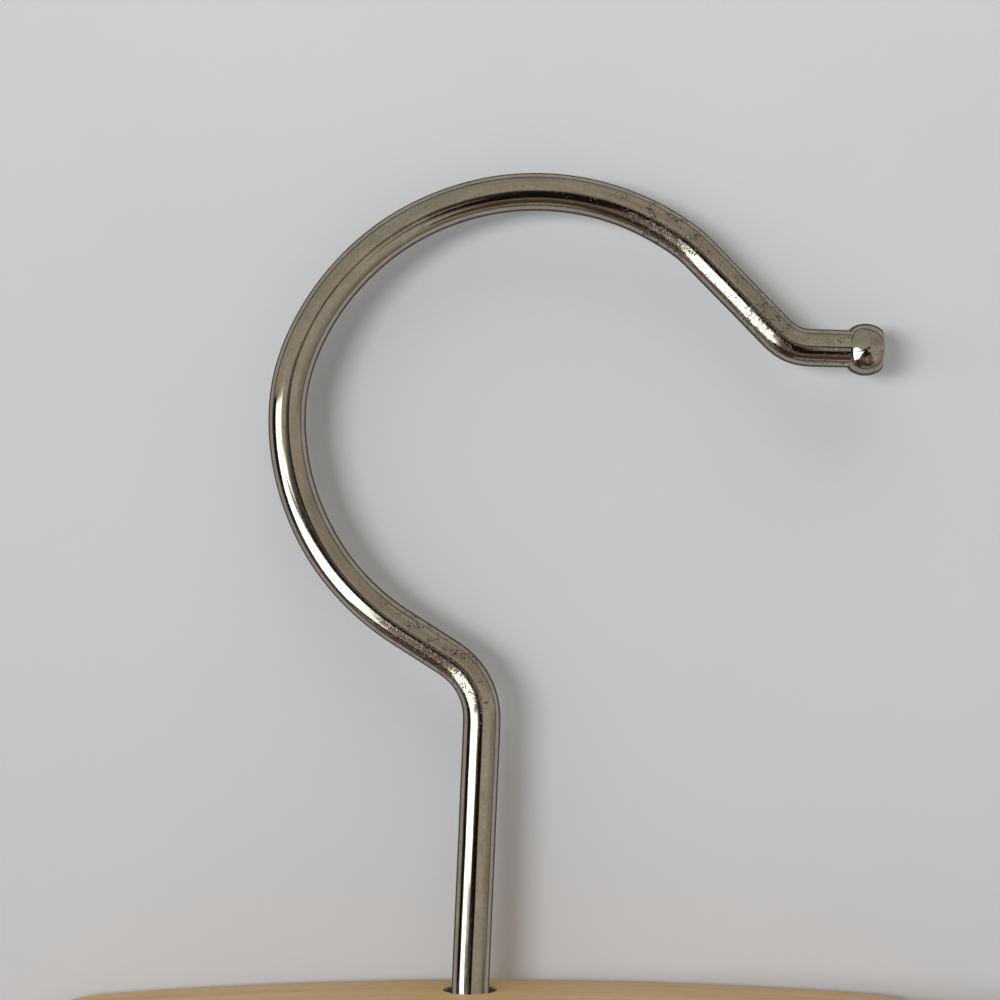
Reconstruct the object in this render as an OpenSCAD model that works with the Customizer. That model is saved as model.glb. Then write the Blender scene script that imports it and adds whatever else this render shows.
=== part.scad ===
/* [Hook] */
// Diameter of the hook's wire
hook_wire_d = 3.7; // [3.2:0.1:4.2]
// Straight stem above the wood
stem_l = 26.1; // [15:0.1:45]
// How far the stem leans to the right, in degrees
stem_lean = 2.5; // [0.5:0.5:5]
// Radius of the slight bend that starts the lean
lean_r = 20; // [10:1:40]
// Radius of the neck, where the stem bends back
neck_r = 6.9; // [5:0.1:10]
// How far the neck bends back, in degrees
neck_turn = 60.1; // [50:0.1:65]
// Straight between the neck and the open curve
neck_l = 5.8; // [2:0.1:12]
// Radius of the open curve's lower part
lower_r = 24.5; // [20:0.5:30]
// Turn of the open curve's lower part, in degrees
lower_turn = 60.1; // [50:0.1:70]
// Radius of the open curve's left side
side_r = 17.7; // [15:0.1:22]
// Turn of the open curve's left side, in degrees
side_turn = 18.6; // [10:0.1:25]
// Radius of the top arc, which sits on a rail
top_r = 25.3; // [20:0.1:30]
// Turn of the top arc, in degrees
top_turn = 105.5; // [95:0.5:110]
// Radius of the last easy bend before the slope
fore_r = 10; // [6:0.5:15]
// Turn of the last easy bend, in degrees
fore_turn = 9.1; // [4:0.1:15]
// Straight slope towards the tip
slope_l = 12.2; // [8:0.1:20]
// Radius of the sharp bend at the tip
tip_r = 2.6; // [2.4:0.1:6]
// Turn of the sharp bend at the tip, in degrees
tip_turn = 43.9; // [30:0.1:50]
// Straight wire between the sharp bend and the ball end
tip_l = 4.8; // [3:0.1:10]
// Wall of the ball end round the wire
ball_wall = 0.75; // [0.5:0.05:1.5]
// Length of the ball end
ball_l = 3.3; // [2.8:0.1:5]
// How deep the wire sits in the ball end
ball_seat = 2; // [1:0.1:2.4]

/* [Hook fastening] */
// Free room round the stem in its hole in the wood
stem_room = 0.8; // [0.4:0.1:1.5]
// Length of the stem's hole, down to the pocket
stem_hole_l = 20; // [15:1:24]
// Rim of the washer beside the wire
washer_rim = 2.2; // [1.8:0.1:3]
// Thickness of the washer
washer_t = 0.8; // [0.5:0.1:1.2]
// Wall of the nut beside the wire
nut_wall = 1.65; // [1.4:0.05:2]
// Height of the nut
nut_h = 3.2; // [2.5:0.1:4]
// Wire that stands out below the nut
stem_end_l = 1.2; // [0.5:0.1:2]
// Free room below the wire's end and behind the washer in the pocket
pocket_room = 0.6; // [0.4:0.1:1]
// Free room at each side of the washer in the pocket
pocket_side = 1.8; // [1.2:0.1:3]
// Corner radius of the pocket
pocket_r = 1.5; // [1:0.1:2]
// How far the hook stands left of the jaws' middle
hook_offset = 1.5; // [0:0.5:4]

/* [Jaws] */
// Overall length of the jaws
jaw_l = 250; // [200:5:300]
// Width of the raised middle
hump_w = 102.8; // [90:0.4:120]
// Radius of the crowned top of the raised middle
crown_r = 536; // [400:2:900]
// Corner radius of the raised middle
hump_corner_r = 12.7; // [8:0.1:16]
// Radius in the root between the raised middle and the shoulder
root_r = 6; // [3:0.5:9]
// Fall of each shoulder from the root to the end
shoulder_fall = 3; // [1:0.5:5]
// Height of the long clamping part below the shoulder's root
clamp_h = 22.5; // [21:0.5:32]
// Radius of the upper corner at each end
end_top_r = 8; // [4:0.5:10]
// Radius of the lower corner at each end
end_low_r = 4; // [2:0.5:6]
// Thickness of the back jaw
back_t = 13; // [11:0.5:16]
// Thickness of the front jaw
front_t = 12; // [10:0.5:14]

/* [Felt linings] */
// Thickness of each felt strip
felt_t = 2.1; // [1.8:0.1:2.6]
// Depth of the rebate that each strip lies in
rebate_d = 0.55; // [0.4:0.05:0.8]
// Height of each felt strip
felt_h = 16; // [10:1:17]
// Distance of each strip from the jaw's lower edge
felt_edge = 1.2; // [0.8:0.1:2]
// Distance of each strip from the jaw's ends
felt_inset = 5; // [4.5:0.5:12]

/* [Hinges] */
// Depth of the hinge axis below the top
hinge_depth = 6; // [5:0.5:8]
// Width of each hinge
hinge_w = 24; // [22:1:30]
// Distance of each hinge from the side of the raised middle
hinge_inset = 9.4; // [9:0.2:14]
// Height of each leaf below the hinge axis
leaf_h = 15; // [14:0.5:16]
// Thickness of each leaf
leaf_t = 0.9; // [0.6:0.1:1.1]
// Diameter of each hinge pin
hinge_pin_d = 1.4; // [1.2:0.1:1.5]
// Width of each knuckle
knuckle_w = 4; // [3:0.5:4.5]
// Wire diameter of each hinge spring
spring_wire_d = 0.6; // [0.4:0.05:0.6]
// Length of each leg of a hinge spring
spring_leg_l = 8.5; // [5:0.5:9]
// Turns of each hinge spring, ending on a half turn
spring_turns = 4.5; // [2.5:1:4.5]
// Distance of the screws from the middle of their hinge
screw_x = 8; // [7.5:0.5:8.5]
// Depth of the screws below the hinge axis
screw_depth = 11; // [10:0.5:11.5]
// Shank diameter of the hinge screws
screw_d = 2.4; // [2:0.1:2.8]
// Head diameter of the hinge screws
screw_head_d = 4.6; // [4.2:0.1:4.8]
// Length of the hinge screws
screw_l = 9; // [7:0.5:10]

/* [Wire clasp] */
// Wire diameter of the clasp
clasp_wire_d = 2.5; // [2:0.1:2.8]
// Depth of the clasp's pivots below the top
pivot_depth = 11; // [10:0.5:11.5]
// Drop of the crossbar below its pivots when closed
bar_drop = 13; // [12.5:0.5:18]
// Depth of the crossbar's groove in the front jaw
groove_d = 0.6; // [0.4:0.1:0.8]
// Radius of the crossbar's groove
groove_r = 3.5; // [3:0.1:5]
// Depth of the clasp's ends in the back jaw
pivot_l = 8; // [6:0.5:8.5]
// Radius of the bends at the crossbar
clasp_bend_r = 2.6; // [2.5:0.1:3]
// Radius of the bends at the pivots
pivot_bend_r = 2; // [1.8:0.1:2]
// Height kept free between the closed crossbar and the root
root_room = 0.5; // [0.3:0.1:3]

/* [Clearances] */
// Radial room of a turning fit
run_gap = 0.08; // [0.05:0.01:0.1]
// Radial room of a fixed fit
fit_gap = 0.03; // [0.02:0.01:0.05]
// Room between pieces that move past each other
move_gap = 0.3; // [0.2:0.05:0.4]
// Room between the clasp's arms and the jaws' sides
arm_gap = 1.3; // [1.2:0.05:1.6]

/* [Hidden] */

// Fineness of the round shapes
crown_fn = 1440;
round_fn = 72;
wire_fn = 32;
small_fn = 24;

// A cutter reaches this far past the face that it opens
past = 1;

// Where two runs of the hook's wire meet: how short each run stops, and how much wider the joining disc is
seam_tuck = 0.2;
seam_rise = 0.06;

nickel = [0.64, 0.62, 0.58];
zinc = [0.72, 0.74, 0.76];
steel = [0.55, 0.56, 0.58];
beech = [0.80, 0.66, 0.46];
felt_dark = [0.17, 0.15, 0.14];

// Places across the jaws' thickness: the hook's wire is at 0, and lower values are nearer the front
jaw_gap = 2 * (felt_t - rebate_d) + move_gap;
back_inner = -back_t / 2;
front_inner = back_inner - jaw_gap;
front_face = front_inner - front_t;

// The clasp when closed, seen from the side
bar_y = front_face - (clasp_wire_d / 2 - groove_d + move_gap);
clasp_reach = sqrt(bar_y * bar_y + bar_drop * bar_drop);
clasp_tilt = atan2(bar_drop, -bar_y);
arm_x = hump_w / 2 + arm_gap + clasp_wire_d / 2;

// The jaws' outline, seen from the front, with the top of the crown at 0
hump_half = hump_w / 2;
corner_x = hump_half - hump_corner_r;
corner_z = sqrt(pow(crown_r - hump_corner_r, 2) - corner_x * corner_x) - crown_r;
root_top = -(pivot_depth + bar_drop + clasp_wire_d / 2 + root_room);
shoulder_angle = atan2(shoulder_fall, jaw_l / 2 - hump_half);
shoulder_z = root_top - root_r / cos(shoulder_angle) + root_r * tan(shoulder_angle);
jaw_low = shoulder_z - clamp_h;

// Hinge places, and the spring inside each hinge
hinge_x = hump_half - hinge_inset - hinge_w / 2;
hinge_y = back_inner - jaw_gap / 2;
knuckle_room = 0.1;
knuckle_d = jaw_gap - 2 * knuckle_room;
knuckle_side = 0.15;
spring_zone = hinge_w - 4 * knuckle_w;
spring_r = jaw_gap / 2 - move_gap - spring_wire_d / 2;
spring_pitch = (spring_zone - 2 * move_gap - 2 * spring_wire_d) / spring_turns;

// The hook's fastening
washer_d = hook_wire_d + 2 * washer_rim;
nut_af = hook_wire_d + 2 * nut_wall;
nut_top = stem_hole_l + washer_t + move_gap;
stem_low = nut_top + nut_h + stem_end_l;
pocket_h = stem_low - stem_hole_l + pocket_room;
pocket_w = washer_d + 2 * pocket_side;
pocket_y = washer_d / 2 + pocket_room;

// The hook's wire as straights [length, 0, 0] and bends [0, radius, turn], from its lower end up
hook_runs = [
    [stem_low, 0, 0],
    [0, lean_r, -stem_lean],
    [stem_l, 0, 0],
    [0, neck_r, neck_turn],
    [neck_l, 0, 0],
    [0, lower_r, -lower_turn],
    [0, side_r, -side_turn],
    [0, top_r, -top_turn],
    [0, fore_r, -fore_turn],
    [slope_l, 0, 0],
    [0, tip_r, tip_turn],
    [tip_l + ball_seat, 0, 0]];
hook_start = [0, -stem_low, 90];
top_run = 7;

// The clasp's wire in its own plane, from the left end to the right end
clasp_across = 2 * (arm_x - clasp_bend_r);
clasp_arm = clasp_reach - clasp_bend_r - pivot_bend_r;
clasp_end = arm_x - pivot_bend_r - (hump_half - pivot_l);
clasp_runs = [
    [clasp_end, 0, 0],
    [0, pivot_bend_r, -90],
    [clasp_arm, 0, 0],
    [0, clasp_bend_r, -90],
    [clasp_across, 0, 0],
    [0, clasp_bend_r, -90],
    [clasp_arm, 0, 0],
    [0, pivot_bend_r, -90],
    [clasp_end, 0, 0]];
clasp_start = [-(hump_half - pivot_l), 0, 180];

// Centre of a bend that starts at p = [x, y, heading]
function bend_centre(p, run) =
    let (side = sign(run[2]))
    [p.x - side * run[1] * sin(p[2]), p.y + side * run[1] * cos(p[2])];

// Place and heading at the end of one run
function run_end(p, run) =
    run[2] == 0 ? [p.x + run[0] * cos(p[2]), p.y + run[0] * sin(p[2]), p[2]] :
    let (c = bend_centre(p, run), side = sign(run[2]), heading = p[2] + run[2])
    [c.x + side * run[1] * sin(heading), c.y - side * run[1] * cos(heading), heading];

// Place and heading at the start of run i
function run_start(runs, start, i) =
    i == 0 ? start : run_end(run_start(runs, start, i - 1), runs[i - 1]);

// The rail's seat: the underside of the top arc's highest point
top_centre = bend_centre(run_start(hook_runs, hook_start, top_run), hook_runs[top_run]);
rail_seat = [top_centre.x, top_centre.y + top_r - hook_wire_d / 2];
hook_tip = run_start(hook_runs, hook_start, len(hook_runs) - 1);

// Puts what was drawn from the top of the crown into the part's frame, with its origin at the rail's seat
module in_frame() {
    translate([-rail_seat.x, 0, -rail_seat.y]) children();
}

// Jaw pieces are drawn from the jaws' own middle
module in_jaws() {
    in_frame() translate([hook_offset, 0, 0]) children();
}

// One straight run, drawn short of its joints by the tucks at its two ends
module straight_wire(p, length, d, tucks) {
    translate([p.x, p.y, 0]) rotate([0, 0, p[2]]) rotate([0, 90, 0])
        translate([0, 0, tucks[0]]) cylinder(h = length - tucks[0] - tucks[1], d = d, $fn = wire_fn);
}

// One bend, drawn short of its joints by the tucks at its two ends
module bent_wire(p, run, d, tucks) {
    c = bend_centre(p, run);
    left = run[2] > 0;
    short = [for (t = tucks) t / run[1] * 180 / PI];
    first = left ? p[2] - 90 + short[0] : p[2] + 90 + run[2] + short[1];
    translate([c.x, c.y, 0]) rotate([0, 0, first])
        rotate_extrude(angle = abs(run[2]) - short[0] - short[1], $fn = round_fn * 2)
            translate([run[1], 0]) circle(d = d, $fn = wire_fn);
}

// A wire bent in the XY plane. With a tuck, discs a hair wider than the wire join its runs.
module wire(runs, start, d, tuck) {
    last = len(runs) - 1;
    for (i = [0 : last]) {
        p = run_start(runs, start, i);
        tucks = [i == 0 ? 0 : tuck, i == last ? 0 : tuck];
        if (runs[i][2] == 0) straight_wire(p, runs[i][0], d, tucks);
        else bent_wire(p, runs[i], d, tucks);
        if (i > 0 && tuck > 0) translate([p.x, p.y, 0]) rotate([0, 0, p[2]]) rotate([0, 90, 0])
            cylinder(h = 4 * tuck, d = d + seam_rise, center = true, $fn = wire_fn);
    }
}

module hook_wire() {
    color(nickel) in_frame() rotate([90, 0, 0]) wire(hook_runs, hook_start, hook_wire_d, seam_tuck);
}

// A short ball pressed over the end of the wire
module hook_ball_end() {
    ball_d = hook_wire_d + 2 * ball_wall;
    color(nickel) in_frame() rotate([90, 0, 0])
        translate([hook_tip.x, hook_tip.y, 0]) rotate([0, 0, hook_tip[2]]) rotate([0, 90, 0])
            translate([0, 0, tip_l]) difference() {
                intersection() {
                    translate([0, 0, ball_l / 2]) sphere(d = ball_d, $fn = round_fn);
                    cylinder(h = ball_l, d = ball_d + past, $fn = small_fn);
                }
                translate([0, 0, -past]) cylinder(h = past + ball_seat, d = hook_wire_d, $fn = wire_fn);
            }
}

// Six-sided nut with its corners turned down at both faces
module hook_nut() {
    corner_r = nut_af / 2 / cos(30);
    turned = corner_r - nut_af / 2;
    color(zinc) in_frame() translate([0, 0, -nut_top - nut_h]) difference() {
        intersection() {
            cylinder(h = nut_h, r = corner_r, $fn = 6);
            rotate_extrude($fn = round_fn) polygon([
                [0, 0], [nut_af / 2, 0], [corner_r, turned],
                [corner_r, nut_h - turned], [nut_af / 2, nut_h], [0, nut_h]]);
        }
        translate([0, 0, -past])
            cylinder(h = nut_h + 2 * past, d = hook_wire_d + 2 * fit_gap, $fn = wire_fn);
    }
}

module hook_washer() {
    color(zinc) in_frame() translate([0, 0, -stem_hole_l - washer_t]) difference() {
        cylinder(h = washer_t, d = washer_d, $fn = round_fn);
        translate([0, 0, -past])
            cylinder(h = washer_t + 2 * past, d = hook_wire_d + 2 * run_gap, $fn = wire_fn);
    }
}

// Height of the sloping shoulder at a distance x from the jaws' middle
function shoulder_at(x) = shoulder_z - (x - hump_half) * tan(shoulder_angle);

// What rounds off an upper corner: the wedge between two tangent points, less the circle
module corner_waste(c, r, tangent, outer) {
    difference() {
        polygon([c, tangent, outer, [outer.x, c.y]]);
        translate(c) circle(r = r, $fn = round_fn * 2);
    }
}

// Raised middle with its crowned top and rounded corners
module hump_outline() {
    to_crown = [corner_x, corner_z + crown_r] / (crown_r - hump_corner_r);
    difference() {
        intersection() {
            translate([0, -crown_r]) circle(r = crown_r, $fn = crown_fn);
            translate([-hump_half, jaw_low]) square([hump_w, past - jaw_low]);
        }
        for (side = [0, 1]) mirror([side, 0])
            corner_waste([corner_x, corner_z], hump_corner_r,
                [corner_x, corner_z] + to_crown * (hump_corner_r + past), [hump_half + past, past]);
    }
}

// Direction square to the shoulder's slope
slope_up = [sin(shoulder_angle), cos(shoulder_angle)];

// One side of the long clamping part
module shoulder_outline() {
    end_x = jaw_l / 2;
    top_c = [end_x - end_top_r, shoulder_at(end_x - end_top_r) - end_top_r / cos(shoulder_angle)];
    low_c = [end_x - end_low_r, jaw_low + end_low_r];
    difference() {
        polygon([[0, jaw_low], [end_x, jaw_low], [end_x, shoulder_at(end_x)],
            [hump_half, shoulder_z], [0, shoulder_z]]);
        corner_waste(top_c, end_top_r, top_c + slope_up * (end_top_r + past),
            [end_x + past, shoulder_at(end_x) + past]);
        difference() {
            translate(low_c - [0, end_low_r + past]) square([end_low_r + past, end_low_r + past]);
            translate(low_c) circle(r = end_low_r, $fn = round_fn);
        }
    }
}

// The root between the raised middle and one shoulder
module root_outline() {
    root_c = [hump_half + root_r, shoulder_at(hump_half + root_r) + root_r / cos(shoulder_angle)];
    root_foot = root_c - slope_up * (root_r + clamp_h / 2);
    difference() {
        polygon([[0, root_foot.y], root_foot, root_c, [0, root_c.y]]);
        translate(root_c) circle(r = root_r, $fn = round_fn);
    }
}

module jaw_blank(front, thickness) {
    translate([0, front + thickness, 0]) rotate([90, 0, 0]) {
        linear_extrude(thickness) hump_outline();
        for (side = [0, 1]) mirror([side, 0, 0]) {
            linear_extrude(thickness) shoulder_outline();
            linear_extrude(thickness) root_outline();
        }
    }
}

// Bar for a felt strip, or for its rebate where it is grown
module felt_bar(near, far, grow) {
    length = jaw_l - 2 * felt_inset + 2 * grow;
    translate([-length / 2, near, jaw_low + felt_edge - grow]) cube([length, far - near, felt_h + 2 * grow]);
}

// The screws' cross recess and blunt tip
recess_w = 2.6;
recess_slot = 0.5;
recess_d = 0.7;
screw_tip_d = 0.3;

// Countersunk screw that points along +Y, with its head's face at 0
module screw_body(grow) {
    head_h = (screw_head_d - screw_d) / 2;
    tip_h = screw_d / 2;
    rotate([-90, 0, 0]) {
        translate([0, 0, -grow]) cylinder(h = 2 * grow, d = screw_head_d + 2 * grow, $fn = small_fn);
        cylinder(h = head_h, d1 = screw_head_d + 2 * grow, d2 = screw_d + 2 * grow, $fn = small_fn);
        cylinder(h = screw_l - tip_h + grow, d = screw_d + 2 * grow, $fn = small_fn);
        translate([0, 0, screw_l - tip_h + grow])
            cylinder(h = tip_h, d1 = screw_d + 2 * grow, d2 = screw_tip_d, $fn = small_fn);
    }
}

// Cross recess in a screw's head
module driver_recess() {
    for (turn = [0, 90]) rotate([0, turn, 0])
        translate([-recess_w / 2, -past, -recess_slot / 2]) cube([recess_w, past + recess_d, recess_slot]);
}

module at_screws() {
    for (hinge = [-1, 1], side = [-1, 1])
        translate([hinge * hinge_x + side * screw_x, 0, -hinge_depth - screw_depth]) children();
}

module back_screw_places() {
    at_screws() translate([0, back_inner - leaf_t, 0]) children();
}

module front_screw_places() {
    at_screws() translate([0, front_inner + leaf_t, 0]) mirror([0, 1, 0]) children();
}

// Block with rounded corners, seen from the front
module round_block(w, h, r, near, far) {
    for (size = [[w - 2 * r, h], [w, h - 2 * r]])
        translate([-size.x / 2, near, -size.y / 2]) cube([size.x, far - near, size.y]);
    for (x = [-1, 1], z = [-1, 1])
        translate([x * (w / 2 - r), far, z * (h / 2 - r)]) rotate([90, 0, 0])
            cylinder(h = far - near, r = r, $fn = small_fn);
}

module pivot_holes() {
    for (side = [-1, 1])
        translate([side * (hump_half - pivot_l - past), 0, -pivot_depth]) rotate([0, side * 90, 0])
            cylinder(h = pivot_l + 2 * past, d = clasp_wire_d + 2 * run_gap, $fn = wire_fn);
}

module back_jaw() {
    color(beech) in_jaws() difference() {
        jaw_blank(back_inner, back_t);
        translate([-hook_offset, 0, -stem_hole_l - past])
            cylinder(h = stem_hole_l + 2 * past, d = hook_wire_d + 2 * stem_room, $fn = wire_fn);
        translate([-hook_offset, 0, -stem_hole_l - pocket_h / 2])
            round_block(pocket_w, pocket_h, pocket_r, back_inner - past, pocket_y);
        felt_bar(back_inner - past, back_inner + rebate_d, fit_gap);
        back_screw_places() screw_body(fit_gap);
        pivot_holes();
    }
}

module front_jaw() {
    color(beech) in_jaws() difference() {
        jaw_blank(front_face, front_t);
        felt_bar(front_inner - rebate_d, front_inner + past, fit_gap);
        front_screw_places() screw_body(fit_gap);
        translate([-hump_half - past, front_face + groove_d - groove_r, -pivot_depth - bar_drop])
            rotate([0, 90, 0]) cylinder(h = hump_w + 2 * past, r = groove_r, $fn = round_fn);
    }
}

module back_felt() {
    color(felt_dark) in_jaws() felt_bar(back_inner + rebate_d - felt_t, back_inner + rebate_d, 0);
}

module front_felt() {
    color(felt_dark) in_jaws() felt_bar(front_inner - rebate_d, front_inner - rebate_d + felt_t, 0);
}

// Moves a hinge piece to the left (-1) or right (1) hinge's axis
module at_hinge(side) {
    in_jaws() translate([side * hinge_x, hinge_y, -hinge_depth]) children();
}

// A knuckle between two distances from the hinge's middle, on both sides of it
module knuckle_pair(near, far) {
    for (side = [-1, 1])
        translate([side * near, 0, 0]) rotate([0, side * 90, 0])
            cylinder(h = far - near, d = knuckle_d, $fn = wire_fn);
}

// Leaf whose plate lies on the back jaw; ends is true where its knuckles are the outer pair
module hinge_leaf(ends, pin_room) {
    inner = spring_zone / 2 + knuckle_w;
    notch_near = ends ? 0 : inner - knuckle_side;
    notch_far = ends ? inner + knuckle_side : hinge_w / 2 + past;
    difference() {
        union() {
            difference() {
                translate([-hinge_w / 2, jaw_gap / 2 - leaf_t, -leaf_h]) cube([hinge_w, leaf_t, leaf_h]);
                for (side = [0, 1]) mirror([side, 0, 0])
                    translate([notch_near, 0, -knuckle_d / 2 - move_gap])
                        cube([notch_far - notch_near, jaw_gap, knuckle_d]);
            }
            if (ends) knuckle_pair(inner + knuckle_side, hinge_w / 2);
            else knuckle_pair(spring_zone / 2, inner - knuckle_side);
        }
        translate([-spring_zone / 2, 0, -spring_leg_l - move_gap])
            cube([spring_zone, jaw_gap, spring_leg_l + knuckle_d]);
        translate([-hinge_w / 2 - past, 0, 0]) rotate([0, 90, 0])
            cylinder(h = hinge_w + 2 * past, d = hinge_pin_d + 2 * pin_room, $fn = small_fn);
        for (side = [-1, 1])
            translate([side * screw_x, jaw_gap / 2 - leaf_t, -screw_depth]) screw_body(fit_gap);
    }
}

module back_leaf(side) {
    color(zinc) at_hinge(side) hinge_leaf(true, fit_gap);
}

module front_leaf(side) {
    color(zinc) at_hinge(side) mirror([0, 1, 0]) hinge_leaf(false, run_gap);
}

module hinge_pin(side) {
    color(steel) at_hinge(side) translate([-hinge_w / 2, 0, 0]) rotate([0, 90, 0])
        cylinder(h = hinge_w, d = hinge_pin_d, $fn = small_fn);
}

// The spring's centre line as [turn angle, x, drop]: up the back leg, round the coil, down the front leg
full_turn = 360;
spring_sides = 6;
turn_steps = 8;
spring_steps = turn_steps * spring_turns;
spring_start = -spring_pitch * spring_turns / 2;
leg_drops = [spring_leg_l, spring_leg_l / 2];
spring_line = [
    for (drop = leg_drops) [0, spring_start, drop],
    for (i = [0 : spring_steps]) [i * full_turn / turn_steps, spring_start + spring_pitch * i / turn_steps, 0],
    for (drop = [leg_drops[1], leg_drops[0]]) [spring_turns * full_turn, -spring_start, drop]];

function spring_point(s, around, out) =
    [s[1] + out * sin(around), (spring_r + out * cos(around)) * cos(s[0]),
     (spring_r + out * cos(around)) * sin(s[0]) - s[2]];

// Least gap between one turn of the coil and the next, measured on the centre line's points
coil_centres = [for (i = [0 : spring_steps]) spring_point(spring_line[i + len(leg_drops)], 0, 0)];
most_steps_near = turn_steps * 3 / 4;
spring_least_gap = min([for (i = [0 : spring_steps - most_steps_near], j = [i + most_steps_near : spring_steps])
    norm(coil_centres[i] - coil_centres[j])]) - spring_wire_d;
echo(spring_least_gap = spring_least_gap);

module hinge_spring(side) {
    n = spring_sides;
    rings = len(spring_line);
    points = [for (s = spring_line, k = [0 : n - 1]) spring_point(s, k * full_turn / n, spring_wire_d / 2)];
    walls = [for (i = [0 : rings - 2], k = [0 : n - 1])
        let (a = i * n + k, b = i * n + (k + 1) % n) each [[a, b, b + n], [a, b + n, a + n]]];
    first = [for (k = [1 : n - 2]) [0, k + 1, k]];
    last = [for (k = [1 : n - 2]) [0, k, k + 1] + [1, 1, 1] * (rings - 1) * n];
    color(steel) at_hinge(side) polyhedron(points = points, faces = concat(walls, first, last), convexity = 8);
}

module left_hinge_back_leaf() { back_leaf(-1); }
module left_hinge_front_leaf() { front_leaf(-1); }
module left_hinge_pin() { hinge_pin(-1); }
module left_hinge_spring() { hinge_spring(-1); }
module right_hinge_back_leaf() { back_leaf(1); }
module right_hinge_front_leaf() { front_leaf(1); }
module right_hinge_pin() { hinge_pin(1); }
module right_hinge_spring() { hinge_spring(1); }

module back_hinge_screws() {
    color(zinc) in_jaws() back_screw_places() difference() {
        screw_body(0);
        driver_recess();
    }
}

module front_hinge_screws() {
    color(zinc) in_jaws() front_screw_places() difference() {
        screw_body(0);
        driver_recess();
    }
}

// One wire that pivots in the back jaw's sides and closes over the front jaw
module wire_clasp() {
    color(nickel) in_jaws() translate([0, 0, -pivot_depth]) rotate([180 + clasp_tilt, 0, 0])
        wire(clasp_runs, clasp_start, clasp_wire_d, 0);
}

hook_wire();
hook_ball_end();
hook_nut();
hook_washer();
back_jaw();
back_felt();
front_jaw();
front_felt();
left_hinge_back_leaf();
left_hinge_front_leaf();
left_hinge_pin();
left_hinge_spring();
right_hinge_back_leaf();
right_hinge_front_leaf();
right_hinge_pin();
right_hinge_spring();
back_hinge_screws();
front_hinge_screws();
wire_clasp();
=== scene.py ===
"""Trouser hanger: a wooden clamp hanger with a plated wire hook, felt-lined jaws, two hinges and a wire clasp."""

import math

import bmesh
import bpy
from bpy.props import FloatProperty, FloatVectorProperty, PointerProperty
from mathutils import Matrix, Vector, noise


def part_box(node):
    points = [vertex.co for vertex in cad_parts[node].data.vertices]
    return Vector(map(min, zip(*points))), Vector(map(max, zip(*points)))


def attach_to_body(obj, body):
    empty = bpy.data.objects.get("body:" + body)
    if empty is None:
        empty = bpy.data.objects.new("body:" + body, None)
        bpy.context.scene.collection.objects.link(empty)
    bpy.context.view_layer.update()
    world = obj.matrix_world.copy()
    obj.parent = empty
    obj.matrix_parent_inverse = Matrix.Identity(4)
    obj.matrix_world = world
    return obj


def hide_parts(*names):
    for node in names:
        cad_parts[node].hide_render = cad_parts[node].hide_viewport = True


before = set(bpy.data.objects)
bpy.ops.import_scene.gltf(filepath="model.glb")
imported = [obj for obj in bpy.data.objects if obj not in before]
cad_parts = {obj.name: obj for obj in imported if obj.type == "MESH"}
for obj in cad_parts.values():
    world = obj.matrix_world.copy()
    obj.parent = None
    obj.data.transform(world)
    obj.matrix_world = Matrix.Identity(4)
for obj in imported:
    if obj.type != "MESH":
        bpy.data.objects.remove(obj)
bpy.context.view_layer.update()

bl_info = {
    "name": "Trouser hanger",
    "version": (1, 0, 0),
    "blender": (4, 5, 0),
    "location": "3D View > Sidebar > Hanger",
    "description": "Builds a wooden trouser hanger with a wire hook, felt linings, hinges and a wire clasp",
    "category": "Add Mesh",
}

MM = 0.001


def node_size(node):
    """Width, depth and height of a node of the frame."""
    low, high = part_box(node)
    return high - low


def node_centre(node):
    """Middle of a node of the frame."""
    low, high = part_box(node)
    return (low + high) / 2


# Places that the frame gives
HOOK_X = node_centre("hook_washer").x
JAW_X = node_centre("back_jaw").x
CROWN_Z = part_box("back_jaw")[1].z
JAW_LOW_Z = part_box("back_jaw")[0].z
BACK_FACE_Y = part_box("back_jaw")[1].y
BACK_INNER_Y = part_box("back_jaw")[0].y
FRONT_INNER_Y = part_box("front_jaw")[1].y
FRONT_FACE_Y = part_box("front_jaw")[0].y
JAW_GAP = BACK_INNER_Y - FRONT_INNER_Y
HINGE_AXIS_Y = (BACK_INNER_Y + FRONT_INNER_Y) / 2
HINGE_AXIS_Z = node_centre("left_hinge_pin").z
HINGE_X = (node_centre("right_hinge_pin").x - node_centre("left_hinge_pin").x) / 2

# The hook's wire in millimetres: a straight is (length, 0, 0) and a bend is (0, radius, turn in degrees)
STEM_LOW = 25.5
HOOK_RUNS = [
    (STEM_LOW, 0, 0), (0, 20, -2.5), (26.1, 0, 0), (0, 6.9, 60.1), (5.8, 0, 0), (0, 24.5, -60.1),
    (0, 17.7, -18.6), (0, 25.3, -105.5), (0, 10, -9.1), (11.6, 0, 0), (0, 4.1, 43.9), (6.2, 0, 0),
]
TIP_L = 4.2
# Worn places: distance along the wire, width and amount
HOOK_WEAR = ((57, 5, 0.75), (65, 5, 0.5), (82, 9, 0.15), (113, 9, 0.3), (130, 5, 0.3), (141, 5, 0.9),
             (149, 5, 0.3), (155, 3.5, 0.95), (163, 4, 0.45))
THREAD_L = 7.0
THREAD_PITCH = 0.7
THREAD_D = 0.17
THREAD_RUN_OUT = 0.8
HOOK_CHAMFER = 0.35
HOOK_UNEVEN = 0.022
HOOK_SIDES = 56
# The sharp bend, where the rings stand closer together
SHARP_BEND = (153.0, 164.0)

# The ball end in millimetres. A dent is (turn round the ball in radians, height, depth).
BALL_L = 3.3
BALL_LIP = 0.16
BALL_DENTS = ((-2.2, 0.9, 0.16), (-1.1, 1.7, 0.1), (0.9, 1.2, 0.1))
BALL_WEAR = 0.25

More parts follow.
